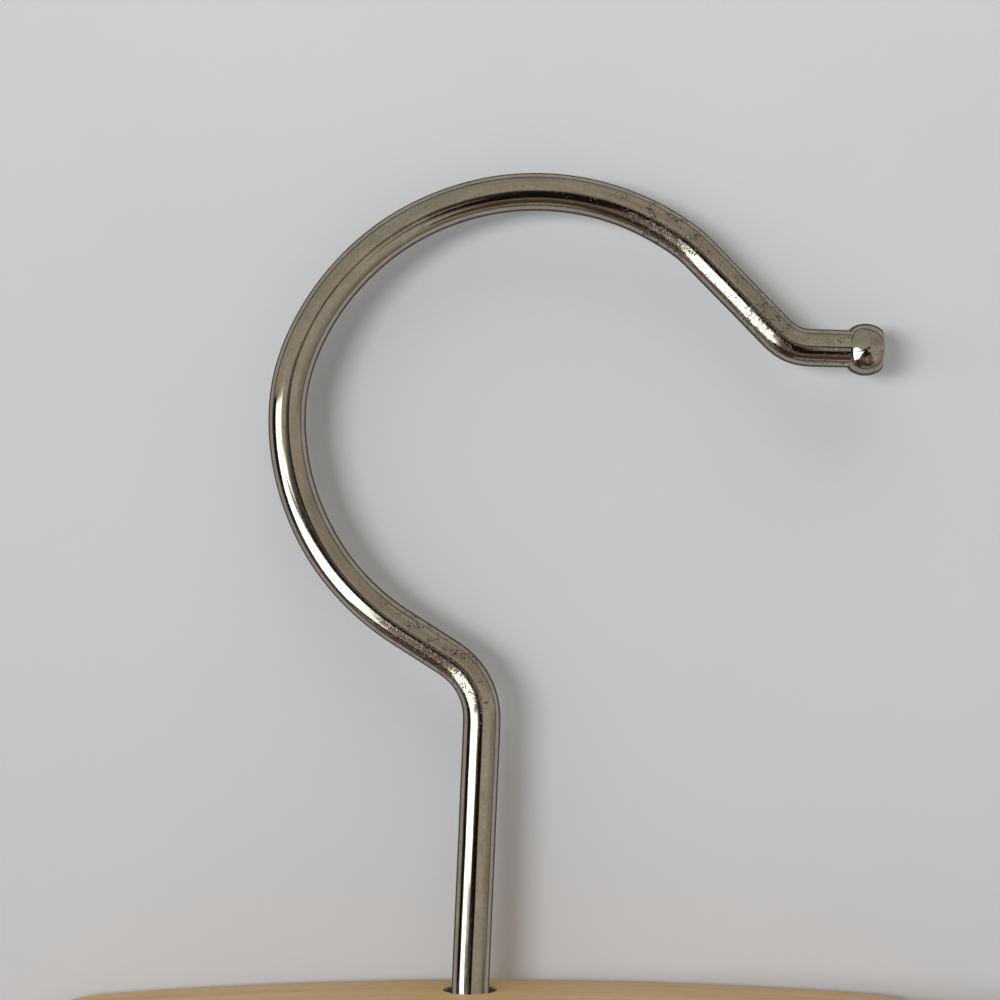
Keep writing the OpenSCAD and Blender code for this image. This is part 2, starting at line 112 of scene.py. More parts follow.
# The clasp's wire, from its left end to its right end
PIVOT_DEPTH = 11.0
BAR_DROP = 13.0
PIVOT_L = 8.0
CLASP_BEND_R = 2.6
PIVOT_BEND_R = 2.0
CLASP_CHAMFER = 0.3
CLASP_UNEVEN = 0.012
PIVOT_HOLE_R = 1.33
PIVOT_MOUTH_R = 1.75

# The jaws' outline in millimetres
CROWN_R = 536.0
CORNER_R = 12.7
ROOT_R = 6.0
END_TOP_R = 8.0
END_LOW_R = 4.0
HUMP_HALF = 51.4
SHOULDER_FALL = 3.0
EDGE_PARTS = 7
CLAMP_H = 22.5
GROOVE_D = 0.6
GROOVE_R = 3.5

# Linings, hinges and fastenings in millimetres
REBATE_D = 0.55
FELT_ROOM = 0.03
STEM_HOLE_R = 2.65
STEM_HOLE_L = 20.0
LEAF_T = 0.9
LEAF_H = 15.0
HINGE_W = 24.0
KNUCKLE_W = 4.0
KNUCKLE_GAP = 0.15
KNUCKLE_ROOM = 0.1
SPRING_ZONE = HINGE_W - 4 * KNUCKLE_W
SPRING_WIRE_R = 0.3
SPRING_SIDES = 14
SPRING_TUCK = 0.35
SPRING_TURNS = 4.5
SPRING_LEG_L = 8.5
SCREW_X = 8.0
SCREW_DEPTH = 11.0
SCREW_D = 2.4
SCREW_HEAD_D = 4.6
SCREW_L = 9.0
SCREW_THREAD_D = 0.32
SCREW_TURNS = (17, 63, 43, 3)
# Which way each jaw's screws point (1 is to the back) and the depth of their heads
SCREW_STARTS = {"back": (1, BACK_INNER_Y / MM - LEAF_T), "front": (-1, FRONT_INNER_Y / MM + LEAF_T)}
WASHER_T = 0.8
NUT_CHAMFER = 0.35
POCKET_SIDE_ROOM = 3.6
POCKET_ROOM = 0.6
FIT_GAP = 0.03
RUN_GAP = 0.08
HOLE_SIDES = 32
ROUND_SIDES = 64

# The stage in metres and degrees
CAMERA_PLACE = (-0.003529, -0.265, -0.028929)
CAMERA_LENS = 95.4
SENSOR_WIDTH = 36
SURFACE_HALF = 1.2
WALL_TILT = 1.65
WALL_GAP = 0.0004
FLOOR_Z = JAW_LOW_Z - 0.0001
CAMERA_SEES = (0.60, 0.597, 0.585)


def size_property(name, description, default, low, high):
    """A length that the user can change."""
    return FloatProperty(name=name, description=description, default=default, min=low, max=high, unit="LENGTH",
                         precision=5)


def colour_property(name, description, default):
    """A colour that the user can change."""
    return FloatVectorProperty(name=name, description=description, default=default, min=0, max=1, subtype="COLOR")


class HangerSizes(bpy.types.PropertyGroup):
    """Sizes that only the finish changes"""

    wire_diameter: size_property(
        "Hook wire", "Diameter of the hook's wire", node_size("hook_wire").y, 0.003, 0.0042)
    clasp_diameter: size_property("Clasp wire", "Diameter of the clasp's wire", 0.0025, 0.002, 0.0028)
    outer_round: size_property("Outer edges", "Rounding of the jaws' outer edges", 0.0016, 0.0005, 0.0032)
    inner_round: size_property("Inner edges", "Rounding of the jaws' edges at the linings", 0.0008, 0.0003, 0.002)
    felt_fuzz: size_property("Felt unevenness", "How far the felt's surface rises and falls", 0.00012, 0.0, 0.0003)


class HangerColours(bpy.types.PropertyGroup):
    """Colours of the hanger and of what it stands before"""

    nickel: colour_property("Nickel", "Plating of the hook and the clasp", (0.65, 0.60, 0.525))
    zinc: colour_property("Zinc", "Plating of the hinges and screws", (0.60, 0.60, 0.59))
    steel: colour_property("Spring steel", "Pins and springs", (0.36, 0.35, 0.34))
    beech_light: colour_property("Light wood", "Lightest colour of the beech", (0.665, 0.475, 0.285))
    beech_dark: colour_property("Dark wood", "Darkest colour of the beech's grain", (0.53, 0.35, 0.19))
    felt: colour_property("Felt", "Colour of the linings", (0.035, 0.03, 0.028))
    surface: colour_property("Surface", "Pale surface behind and below the hanger", (0.565, 0.569, 0.58))


# Small helpers for shader nodes

def feed(tree, node, values):
    """Sets a node's inputs. Each value is (socket name or number, constant or the socket that feeds it)."""
    for key, value in values:
        socket = node.inputs[key]
        if isinstance(value, bpy.types.NodeSocket):
            tree.links.new(value, socket)
        else:
            socket.default_value = value


def put(tree, kind, values=(), **settings):
    """Adds a node, with its settings and inputs."""
    made = tree.nodes.new(kind)
    for key, value in settings.items():
        setattr(made, key, value)
    feed(tree, made, values)
    return made


def maths(tree, operation, first, second=0.5):
    """Result of a Math node."""
    return put(tree, "ShaderNodeMath", [(0, first), (1, second)], operation=operation).outputs[0]


def plus(tree, first, second):
    """Sum of two values."""
    return maths(tree, "ADD", first, second)


def times(tree, first, second):
    """Product of two values."""
    return maths(tree, "MULTIPLY", first, second)


def remap(tree, value, low, high, to_low=0.0, to_high=1.0):
    """Value moved from one range to another, with soft ends."""
    values = [("Value", value), ("From Min", low), ("From Max", high), ("To Min", to_low), ("To Max", to_high)]
    return put(tree, "ShaderNodeMapRange", values, interpolation_type="SMOOTHSTEP").outputs["Result"]


def blend_colours(tree, factor, first, second, mode="MIX"):
    """Result of mixing two colours, each a socket or red, green and blue."""
    pair = [value if isinstance(value, bpy.types.NodeSocket) else (*value, 1) for value in (first, second)]
    values = [("Factor", factor), (6, pair[0]), (7, pair[1])]
    return put(tree, "ShaderNodeMix", values, data_type="RGBA", blend_type=mode).outputs[2]


def object_place(tree):
    """The object's own coordinates."""
    return put(tree, "ShaderNodeTexCoord").outputs["Object"]


def split(tree, vector):
    """A vector's three parts."""
    return put(tree, "ShaderNodeSeparateXYZ", [(0, vector)]).outputs


def mapped(tree, vector, scale=(1, 1, 1), place=(0, 0, 0), turn=(0, 0, 0)):
    """Vector moved, turned and scaled."""
    values = [("Vector", vector), ("Scale", scale), ("Location", place), ("Rotation", turn)]
    return put(tree, "ShaderNodeMapping", values).outputs["Vector"]


def speckle(tree, vector, scale, detail=2.0, rough=0.5, warp=0.0):
    """Grey noise."""
    values = [("Vector", vector), ("Scale", scale), ("Detail", detail), ("Roughness", rough), ("Distortion", warp)]
    return put(tree, "ShaderNodeTexNoise", values).outputs["Fac"]


def new_group(name, inputs, outputs):
    """Empty shader group with named sockets, and its two end nodes."""
    group = bpy.data.node_groups.new(name, "ShaderNodeTree")
    for label, kind, default in inputs:
        socket = group.interface.new_socket(name=label, in_out="INPUT", socket_type=kind)
        if default is not None:
            socket.default_value = default
    for label, kind in outputs:
        group.interface.new_socket(name=label, in_out="OUTPUT", socket_type=kind)
    return group, group.nodes.new("NodeGroupInput"), group.nodes.new("NodeGroupOutput")


def use_group(tree, name, maker, values):
    """Places a group in a tree; the group itself is built once."""
    group = bpy.data.node_groups.get(name) or maker(name)
    return put(tree, "ShaderNodeGroup", values, node_tree=group)


def pits_group(name):
    """Small pits in a plating, thicker where its wire was strained."""
    g, start, end = new_group(name, [
        ("Vector", "NodeSocketVector", None), ("Scale", "NodeSocketFloat", 2500.0),
        ("Amount", "NodeSocketFloat", 0.2), ("Wear", "NodeSocketFloat", 0.0),
    ], [("Pits", "NodeSocketFloat"), ("Height", "NodeSocketFloat")])
    cells = put(g, "ShaderNodeTexVoronoi", [("Vector", start.outputs["Vector"]), ("Scale", start.outputs["Scale"])])
    patch = speckle(g, start.outputs["Vector"], 1100.0, 3.0, 0.6)
    amount = plus(g, start.outputs["Amount"], start.outputs["Wear"])
    reach = maths(g, "MINIMUM", 0.5, times(g, amount, remap(g, patch, 0.44, 0.66, 0.1, 0.72)))
    depth = maths(g, "SUBTRACT", reach, cells.outputs["Distance"])
    pits = remap(g, depth, 0.0, 0.12)
    feed(g, end, [("Pits", pits), ("Height", times(g, pits, -1.0))])
    return g


def drawn_group(name):
    """Fine lines along a drawn wire or a rolled strip, and the slow waves of its polish."""
    g, start, end = new_group(name, [
        ("Vector", "NodeSocketVector", None), ("Line scale", "NodeSocketFloat", 5000.0),
        ("Wave scale", "NodeSocketFloat", 400.0), ("Waves", "NodeSocketFloat", 0.5),
    ], [("Lines", "NodeSocketFloat"), ("Height", "NodeSocketFloat")])
    stretched = mapped(g, start.outputs["Vector"], scale=(1, 1, 0.02))
    lines = speckle(g, stretched, start.outputs["Line scale"], 3.0, 0.6)
    waves = speckle(g, start.outputs["Vector"], start.outputs["Wave scale"], 1.0, 0.4)
    height = plus(g, times(g, lines, 0.25), times(g, waves, start.outputs["Waves"]))
    feed(g, end, [("Lines", lines), ("Height", height)])
    return g


def beech_group(name):
    """Grain of beech: growth bands, small ray flecks and pores, all along X."""
    g, start, end = new_group(name, [
        ("Vector", "NodeSocketVector", None), ("Light", "NodeSocketColor", (0.6, 0.4, 0.22, 1)),
        ("Dark", "NodeSocketColor", (0.45, 0.28, 0.14, 1)),
    ], [("Color", "NodeSocketColor"), ("Flecks", "NodeSocketFloat"), ("Height", "NodeSocketFloat")])
    vector = start.outputs["Vector"]
    bands = speckle(g, mapped(g, vector, scale=(0.035, 1, 1)), 330.0, 4.0, 0.55, 0.6)
    fine = speckle(g, mapped(g, vector, scale=(0.03, 1, 1)), 2300.0, 3.0, 0.6)
    cloud = speckle(g, mapped(g, vector, scale=(0.25, 1, 1)), 45.0, 2.0, 0.5)
    fleck = speckle(g, mapped(g, vector, scale=(0.16, 1, 0.8)), 3100.0, 1.0, 0.4)
    flecks = remap(g, fleck, 0.62, 0.72)
    pore = put(g, "ShaderNodeTexVoronoi", [("Vector", mapped(g, vector, scale=(0.12, 1, 1))), ("Scale", 6500.0)])
    pores = remap(g, pore.outputs["Distance"], 0.22, 0.1)
    share = plus(g, times(g, remap(g, bands, 0.36, 0.66), 0.55),
                  times(g, remap(g, fine, 0.3, 0.7), 0.3))
    share = plus(g, share, times(g, remap(g, cloud, 0.35, 0.7), 0.2))
    wood = blend_colours(g, share, start.outputs["Light"], start.outputs["Dark"])
    darker = blend_colours(g, 1.0, wood, (0.72, 0.62, 0.52), "MULTIPLY")
    wood = blend_colours(g, times(g, flecks, 0.6), wood, darker)
    wood = blend_colours(g, times(g, pores, 0.35), wood, darker)
    height = plus(g, times(g, fine, 0.5), times(g, pores, -0.6))
    feed(g, end, [("Color", wood), ("Flecks", flecks), ("Height", height)])
    return g


def start_material(name):
    """New node material with its Principled shader."""
    material = bpy.data.materials.new(name)
    material.use_nodes = True
    tree = material.node_tree
    tree.nodes.clear()
    shader = tree.nodes.new("ShaderNodeBsdfPrincipled")
    output = tree.nodes.new("ShaderNodeOutputMaterial")
    tree.links.new(shader.outputs[0], output.inputs[0])
    return material, tree, shader


def shared_material(name):
    """Turns a function that fills a tree into one that gives the named material, built once."""
    def wrap(fill):
        def give():
            if name not in bpy.data.materials:
                fill(*start_material(name)[1:])
            return bpy.data.materials[name]
        return give
    return wrap


def relief(tree, height, distance, strength):
    """Bump from a height."""
    values = [("Height", height), ("Distance", distance), ("Strength", strength)]
    return put(tree, "ShaderNodeBump", values).outputs["Normal"]


def colours():
    """The colours that the user set."""
    return bpy.context.scene.hanger_colours


def sizes():
    """The sizes that the user set."""
    return bpy.context.scene.hanger_sizes


@shared_material("Nickel plating")
def plated_wire_material(tree, shader):
    """Worn nickel plating on a bent wire; it reads how each point lies along and round the wire."""
    lie = put(tree, "ShaderNodeAttribute", attribute_name="wire_lie").outputs["Vector"]
    wear = put(tree, "ShaderNodeAttribute", attribute_name="wear").outputs["Fac"]
    pits = use_group(tree, "Plating pits", pits_group, [
        ("Vector", lie), ("Scale", 4700.0), ("Amount", 0.17), ("Wear", wear)])
    drawn = use_group(tree, "Drawn lines", drawn_group, [
        ("Vector", lie), ("Line scale", 3400.0), ("Wave scale", 300.0), ("Waves", 1.0)])
    grit = speckle(tree, lie, 3000.0, 3.0, 0.65)
    haze = speckle(tree, mapped(tree, lie, scale=(1, 1, 0.35)), 900.0, 4.0, 0.65, 0.5)
    tarnish = remap(tree, speckle(tree, lie, 150.0, 4.0, 0.6, 0.8), 0.4, 0.72)
    base = blend_colours(tree, times(tree, tarnish, 0.4), colours().nickel, (0.52, 0.44, 0.35))
    base = blend_colours(tree, remap(tree, haze, 0.38, 0.68, 0.0, 0.5), base, (0.46, 0.415, 0.345))
    base = blend_colours(tree, remap(tree, grit, 0.35, 0.65, 0.0, 0.3), base, (0.42, 0.37, 0.30))
    base = blend_colours(tree, pits.outputs["Pits"], base, (0.10, 0.075, 0.055))
    rough = plus(tree, remap(tree, drawn.outputs["Lines"], 0.3, 0.75, 0.07, 0.12),
                  times(tree, pits.outputs["Pits"], 0.3))
    rough = plus(tree, rough, times(tree, haze, times(tree, wear, 0.12)))
    height = plus(tree, times(tree, pits.outputs["Height"], 0.5), drawn.outputs["Height"])
    height = plus(tree, height, times(tree, grit, times(tree, wear, 0.9)))
    dents = times(tree, speckle(tree, lie, 1300.0, 2.0, 0.5), maths(tree, "POWER", wear, 3.0))
    height = plus(tree, height, times(tree, dents, 2.5))
    feed(tree, shader, [("Base Color", base), ("Roughness", rough), ("Metallic", 1.0),
                        ("Normal", relief(tree, height, 0.00003, 0.5))])


@shared_material("Zinc plating")
def zinc_material(tree, shader):
    """Bright zinc on pressed steel, with faint cloudy crystals and handling marks."""
    place = object_place(tree)
    clouds = speckle(tree, place, 700.0, 4.0, 0.6, 0.4)
    scratches = speckle(tree, mapped(tree, place, scale=(0.05, 1, 1), turn=(0, 0.4, 0)), 6000.0, 2.0, 0.6)
    pits = use_group(tree, "Plating pits", pits_group, [
        ("Vector", place), ("Scale", 4200.0), ("Amount", 0.13)])
    base = blend_colours(tree, remap(tree, clouds, 0.35, 0.7), colours().zinc, (0.50, 0.505, 0.50))
    base = blend_colours(tree, pits.outputs["Pits"], base, (0.16, 0.15, 0.13))
    feed(tree, shader, [("Base Color", base), ("Roughness", remap(tree, clouds, 0.3, 0.7, 0.26, 0.42)),
                        ("Metallic", 1.0),
                        ("Normal", relief(tree, plus(tree, scratches, pits.outputs["Height"]), 0.00002, 0.4))])


@shared_material("Spring steel")
def spring_steel_material(tree, shader):
    """Dark drawn spring steel with a trace of oil."""
    place = object_place(tree)
    drawn = use_group(tree, "Drawn lines", drawn_group, [
        ("Vector", place), ("Line scale", 7000.0), ("Wave scale", 900.0), ("Waves", 0.3)])
    oil = remap(tree, speckle(tree, place, 500.0, 3.0, 0.6), 0.4, 0.7)
    base = blend_colours(tree, oil, colours().steel, (0.23, 0.20, 0.165))
    feed(tree, shader, [("Base Color", base),
                        ("Roughness", remap(tree, drawn.outputs["Lines"], 0.3, 0.7, 0.2, 0.36)),
                        ("Metallic", 1.0), ("Normal", relief(tree, drawn.outputs["Height"], 0.00002, 0.5))])


def beech_material(name, place):
    """Lacquered beech, with painted shade in the hook's bore and round its stem; place moves the grain, so that the
    two jaws are cut from different wood.
    """
    material, tree, shader = start_material(name)
    here = object_place(tree)
    grain = use_group(tree, "Beech grain", beech_group, [
        ("Vector", mapped(tree, here, place=place)), ("Light", (*colours().beech_light, 1)),
        ("Dark", (*colours().beech_dark, 1))])
    x, y, z = split(tree, here)
    flat = put(tree, "ShaderNodeCombineXYZ", [(0, x), (1, y), (2, 0.0)]).outputs[0]
    away = put(tree, "ShaderNodeVectorMath", [(0, flat), (1, (HOOK_X, 0, 0))], operation="DISTANCE").outputs["Value"]
    # Painted shade: inside the hook's bore, below the crown, the wood is coloured near black to stand in for the shade
    # deep in the hole
    painted_bore_shade = times(tree, remap(tree, away, 0.0031, 0.0029),
                  remap(tree, z, CROWN_Z - 0.00005, CROWN_Z - 0.00025))
    # Painted shade: the crown's top round the hook's stem is coloured darker and more golden, standing in for the
    # stem's shade on the wood
    painted_stem_shade = times(tree, remap(tree, away, 0.016, 0.004),
                   remap(tree, z, CROWN_Z - 0.004, CROWN_Z - 0.001))
    stem_shaded_wood = blend_colours(tree, painted_stem_shade, grain.outputs["Color"], (0.97, 0.94, 0.76), "MULTIPLY")
    base = blend_colours(tree, painted_bore_shade, stem_shaded_wood, (0.012, 0.006, 0.003))
    feed(tree, shader, [("Base Color", base),
                        ("Roughness", plus(tree, times(tree, grain.outputs["Flecks"], 0.1), 0.42)),
                        ("Coat Weight", 0.25), ("Coat Roughness", 0.22),
                        ("Normal", relief(tree, grain.outputs["Height"], 0.00005, 0.35))])
    return material


@shared_material("Wool felt")
def felt_material(tree, shader):
    """Pressed wool felt: short tangled fibres, a few of them lighter."""
    place = object_place(tree)
    layers = []
    for turn, offset in (((0.3, 0.2, 0.5), 0.0), ((-0.4, 0.9, 0.1), 0.3), ((0.1, -0.7, -0.6), 0.7)):
        lay = mapped(tree, place, scale=(0.16, 1, 1), turn=turn, place=(offset, offset, offset))
        layers.append(remap(tree, speckle(tree, lay, 5200.0, 2.0, 0.5, 0.6), 0.5, 0.68))
    fibres = maths(tree, "MAXIMUM", maths(tree, "MAXIMUM", layers[0], layers[1]), layers[2])
    wool = speckle(tree, place, 900.0, 3.0, 0.6)
    tint = colours().felt
    lighter = [min(1.0, 3.2 * part) for part in tint]
    base = blend_colours(tree, times(tree, fibres, remap(tree, wool, 0.35, 0.7, 0.15, 0.8)), tint, lighter)
    feed(tree, shader, [("Base Color", base), ("Roughness", remap(tree, wool, 0.3, 0.7, 0.9, 1.0)),
                        ("Sheen Weight", 0.35), ("Sheen Roughness", 0.6), ("Specular IOR Level", 0.2),
                        ("Normal", relief(tree, plus(tree, fibres, wool), 0.0001, 0.8))])


# Small helpers for meshes

def verts_in(geometry):
    """The vertices among an operator's results."""
    return [g for g in geometry if isinstance(g, bmesh.types.BMVert)]


def edges_in(geometry):
    """The edges among an operator's results."""
    return [g for g in geometry if isinstance(g, bmesh.types.BMEdge)]


def thicken(shape, along):
    """Pulls a flat shape's faces out into a solid."""
    made = bmesh.ops.extrude_face_region(shape, geom=list(shape.faces))["geom"]
    bmesh.ops.translate(shape, vec=along, verts=verts_in(made))


def round_edges(shape, edges, offset, segments):
    """Rounds edges with a bevel."""
    bmesh.ops.bevel(shape, geom=edges, offset=offset, offset_type="OFFSET", segments=segments, profile=0.5,
                    affect="EDGES", material=-1, clamp_overlap=True)


def add_object(name, shape):
    """Object of a finished shape."""
    mesh = bpy.data.meshes.new(name)
    shape.to_mesh(mesh)
    shape.free()
    made = bpy.data.objects.new(name, mesh)
    bpy.context.scene.collection.objects.link(made)
    return made


def smooth_faces(mesh, sharp):
    """Smooth faces, with sharp edges where the surface turns by more than sharp degrees."""
    mesh.polygons.foreach_set("use_smooth", [True] * len(mesh.polygons))
    mesh.set_sharp_from_angle(angle=math.radians(sharp))


def finish_piece(name, shape, material, sharp=35.0):
    """Makes the object of a closed shape."""
    bmesh.ops.recalc_face_normals(shape, faces=shape.faces)
    piece = add_object(name, shape)
    piece.data.materials.append(material)
    smooth_faces(piece.data, sharp)
    return piece


def attach(piece, body, slot, *nodes):
    """The piece rides on its body and hides the nodes that it stands for; its slot only decides whether the metal
    mirrors it.
    """
    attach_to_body(piece, body)
    piece.visible_glossy = slot != "beech"
    if nodes:
        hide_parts(*nodes)


def cut_away(piece, cutters, sharp=35.0):
    """Cuts shapes out of a piece."""
    for number, shape in enumerate(cutters):
        bmesh.ops.recalc_face_normals(shape, faces=shape.faces)
        cutter = add_object("cutter", shape)
        step = piece.modifiers.new("cut", "BOOLEAN")
        step.operation, step.solver, step.object = "DIFFERENCE", "EXACT", cutter
        bpy.context.view_layer.update()
        finished = piece.evaluated_get(bpy.context.evaluated_depsgraph_get())
        used = [piece.data, cutter.data]
        piece.data = bpy.data.meshes.new_from_object(finished)
        piece.modifiers.clear()
        bpy.data.objects.remove(cutter)
        for mesh in used:
            bpy.data.meshes.remove(mesh)
        if not len(piece.data.polygons):
            raise RuntimeError(f"cut {number} left nothing of {piece.name}")
    smooth_faces(piece.data, sharp)


def even_normals(piece):
    """Large flat faces keep their own direction beside rounded edges."""
    weighted = piece.modifiers.new("flat faces", "WEIGHTED_NORMAL")
    weighted.keep_sharp = True
    weighted.weight = 80


def ahead(direction):
    """Step of length 1 along a heading in the XZ plane."""
    return Vector((math.cos(direction), 0, math.sin(direction)))


def aside(direction):
    """Step of length 1 to the left of a heading in the XZ plane."""
    return Vector((-math.sin(direction), 0, math.cos(direction)))


def turn_left(angle, size=3):
    """Turn to the left in the XZ plane."""
    return Matrix.Rotation(angle, size, (0, -1, 0))


def eased_headings(runs, ease):
    """Length of a wire, and a function from a distance along it to its heading, with each bend eased in and out."""
    marks = [(0.0, 0.0)]
    for length, radius, turn in runs:
        run = length or radius * abs(math.radians(turn))
        marks.append((marks[-1][0] + run, marks[-1][1] + math.radians(turn)))

    def area(s):
        total = min(s, 0.0) * marks[0][1]
        for (s0, h0), (s1, h1) in zip(marks, marks[1:]):
            if s <= s0:
                break
            e = min(s, s1)
            total += (e - s0) * (h0 + (h0 + (h1 - h0) * (e - s0) / (s1 - s0))) / 2
        return total + max(0.0, s - marks[-1][0]) * marks[-1][1]

    return marks[-1][0], lambda s: (area(s + ease) - area(s - ease)) / (2 * ease)


def stations(length, fine_spans, step, fine_step):
    """Distances along a wire, closer together inside the fine spans."""
    found, s = [0.0], 0.0
    while s < length - 1e-6:
        fine = any(a <= s < b for a, b in fine_spans)
        s = min(length, s + (fine_step if fine else step))
        found.append(s)
    return found


def sweep_wire(runs, heading, radius, sides, step, fine_spans, fine_step, ease, shape_ring, worn):
    """A round wire bent in the XZ plane, in millimetres, from the origin. shape_ring moves each ring's points;
    worn lists (distance along the wire, width, amount) of its worn places."""
    length, turned = eased_headings(runs, ease)
    shape = bmesh.new()
    lie = shape.verts.layers.float_vector.new("wire_lie")
    wear = shape.verts.layers.float.new("wear")
    ring = bmesh.ops.create_circle(shape, cap_ends=True, segments=sides, radius=radius)["verts"]
    for v in ring:
        around = math.atan2(v.co.y, v.co.x)
        v[lie] = (radius * math.cos(around), radius * math.sin(around), 0)
    place, direction = Vector((0, 0, 0)), heading
    # The circle faces along Z; it is turned until it faces along the wire
    bmesh.ops.rotate(shape, cent=place, verts=ring, matrix=turn_left(direction - math.pi / 2))
    places = stations(length, fine_spans, step, fine_step)
    rings = [(0.0, ring, place.copy())]
    edges = [e for e in shape.edges if e.is_boundary]
    for s0, s1 in zip(places, places[1:]):
        made = bmesh.ops.extrude_edge_only(shape, edges=edges)["geom"]
        ring, edges = verts_in(made), edges_in(made)
        bend, run = turned(s1) - turned(s0), s1 - s0
        if abs(bend) > 1e-5:
            centre, turn = place + aside(direction) * (run / bend), turn_left(bend)
            bmesh.ops.rotate(shape, cent=centre, verts=ring, matrix=turn)
            place = centre + turn @ (place - centre)
            direction += bend
        else:
            bmesh.ops.translate(shape, vec=ahead(direction) * run, verts=ring)
            place = place + ahead(direction) * run
        for v in ring:
            near = v[lie]
            v[lie] = (near.x, near.y, s1)
            v[wear] = min(1.0, sum(much * math.exp(-((s1 - at) / wide) ** 2) for at, wide, much in worn))
        rings.append((s1, ring, place.copy()))
    bmesh.ops.contextual_create(shape, geom=edges)
    for s, ring, centre in rings:
        shape_ring(s, ring, centre, lie)
        for v in ring:
            v[lie] = v[lie] * MM
    return shape


def spin_profile(points, sides, closed=False):
    """A turned shape round the Z axis from (radius, height) points in millimetres."""
    shape = bmesh.new()
    verts = [bmesh.ops.create_vert(shape, co=(r, 0, h))["vert"][0] for r, h in points]
    pairs = list(zip(verts, verts[1:])) + ([(verts[-1], verts[0])] if closed else [])
    edges = [shape.edges.new(pair) for pair in pairs]
    bmesh.ops.spin(shape, geom=verts + edges, cent=(0, 0, 0), axis=(0, 0, 1), dvec=(0, 0, 0),
                   angle=math.tau, steps=sides, use_merge=True, use_duplicate=False)
    bmesh.ops.remove_doubles(shape, verts=shape.verts, dist=1e-4)
    return shape


def rounded_profile(points, radius, parts=4):
    """Profile with its inner corners rounded."""
    found = [points[0]]
    for before, corner, after in zip(points, points[1:], points[2:]):
        c, b, a = Vector(corner), Vector(before), Vector(after)
        reach = min(radius, (b - c).length * 0.45, (a - c).length * 0.45)
        first, last = c + (b - c).normalized() * reach, c + (a - c).normalized() * reach
        for i in range(parts + 1):
            t = i / parts
            found.append(tuple(first * (1 - t) ** 2 + c * 2 * t * (1 - t) + last * t * t))
    return found + [points[-1]]


def place_shape(shape, matrix):
    """Moves a whole shape."""
    bmesh.ops.transform(shape, matrix=matrix, verts=shape.verts)
    return shape


def join_shapes(shapes):
    """One shape from several."""
    whole = bmesh.new()
    mesh = bpy.data.meshes.new("part")
    for shape in shapes:
        shape.to_mesh(mesh)
        shape.free()
        whole.from_mesh(mesh)
    bpy.data.meshes.remove(mesh)
    return whole


def box_shape(low, high):
    """A block between two corners, in millimetres."""
    shape = bmesh.new()
    bmesh.ops.create_cube(shape, size=1)
    low, high = Vector(low), Vector(high)
    bmesh.ops.scale(shape, vec=high - low, verts=shape.verts)
    bmesh.ops.translate(shape, vec=(low + high) / 2, verts=shape.verts)
    return shape


TO_HOOK = Matrix.Translation((HOOK_X, 0, CROWN_Z)) @ Matrix.Scale(MM, 4)
TO_JAWS = Matrix.Translation((JAW_X, 0, CROWN_Z)) @ Matrix.Scale(MM, 4)


# The hook

def hook_end():
    """Where the hook's wire ends and which way it points, without easing the bends."""
    place, direction = Vector((0, 0, -STEM_LOW)), math.pi / 2
    for length, radius, turn in HOOK_RUNS:
        if turn:
            bend = math.radians(turn)
            centre = place + aside(direction) * math.copysign(radius, turn)
            place = centre + turn_left(bend) @ (place - centre)
            direction += bend
        else:
            place = place + ahead(direction) * length
    return place, direction


def shape_hook_ring(s, ring, centre, lie):
    """Rolled thread at the stem's foot, and the slight unevenness of a hand-set bend."""
    for v in ring:
        out = v.co - centre
        r = out.length
        if s < THREAD_L:
            around = math.atan2(v[lie].y, v[lie].x)
            phase = (s / THREAD_PITCH - around / math.tau) % 1.0
            r -= THREAD_D * abs(2 * phase - 1) * min(1.0, (THREAD_L - s) / THREAD_RUN_OUT)
            r -= HOOK_CHAMFER * max(0.0, 1 - s / 0.5)
        else:
            r += HOOK_UNEVEN * noise.noise(Vector((v[lie].x * 0.25, v[lie].y * 0.25, s * 0.16)))
        v.co = centre + out.normalized() * r


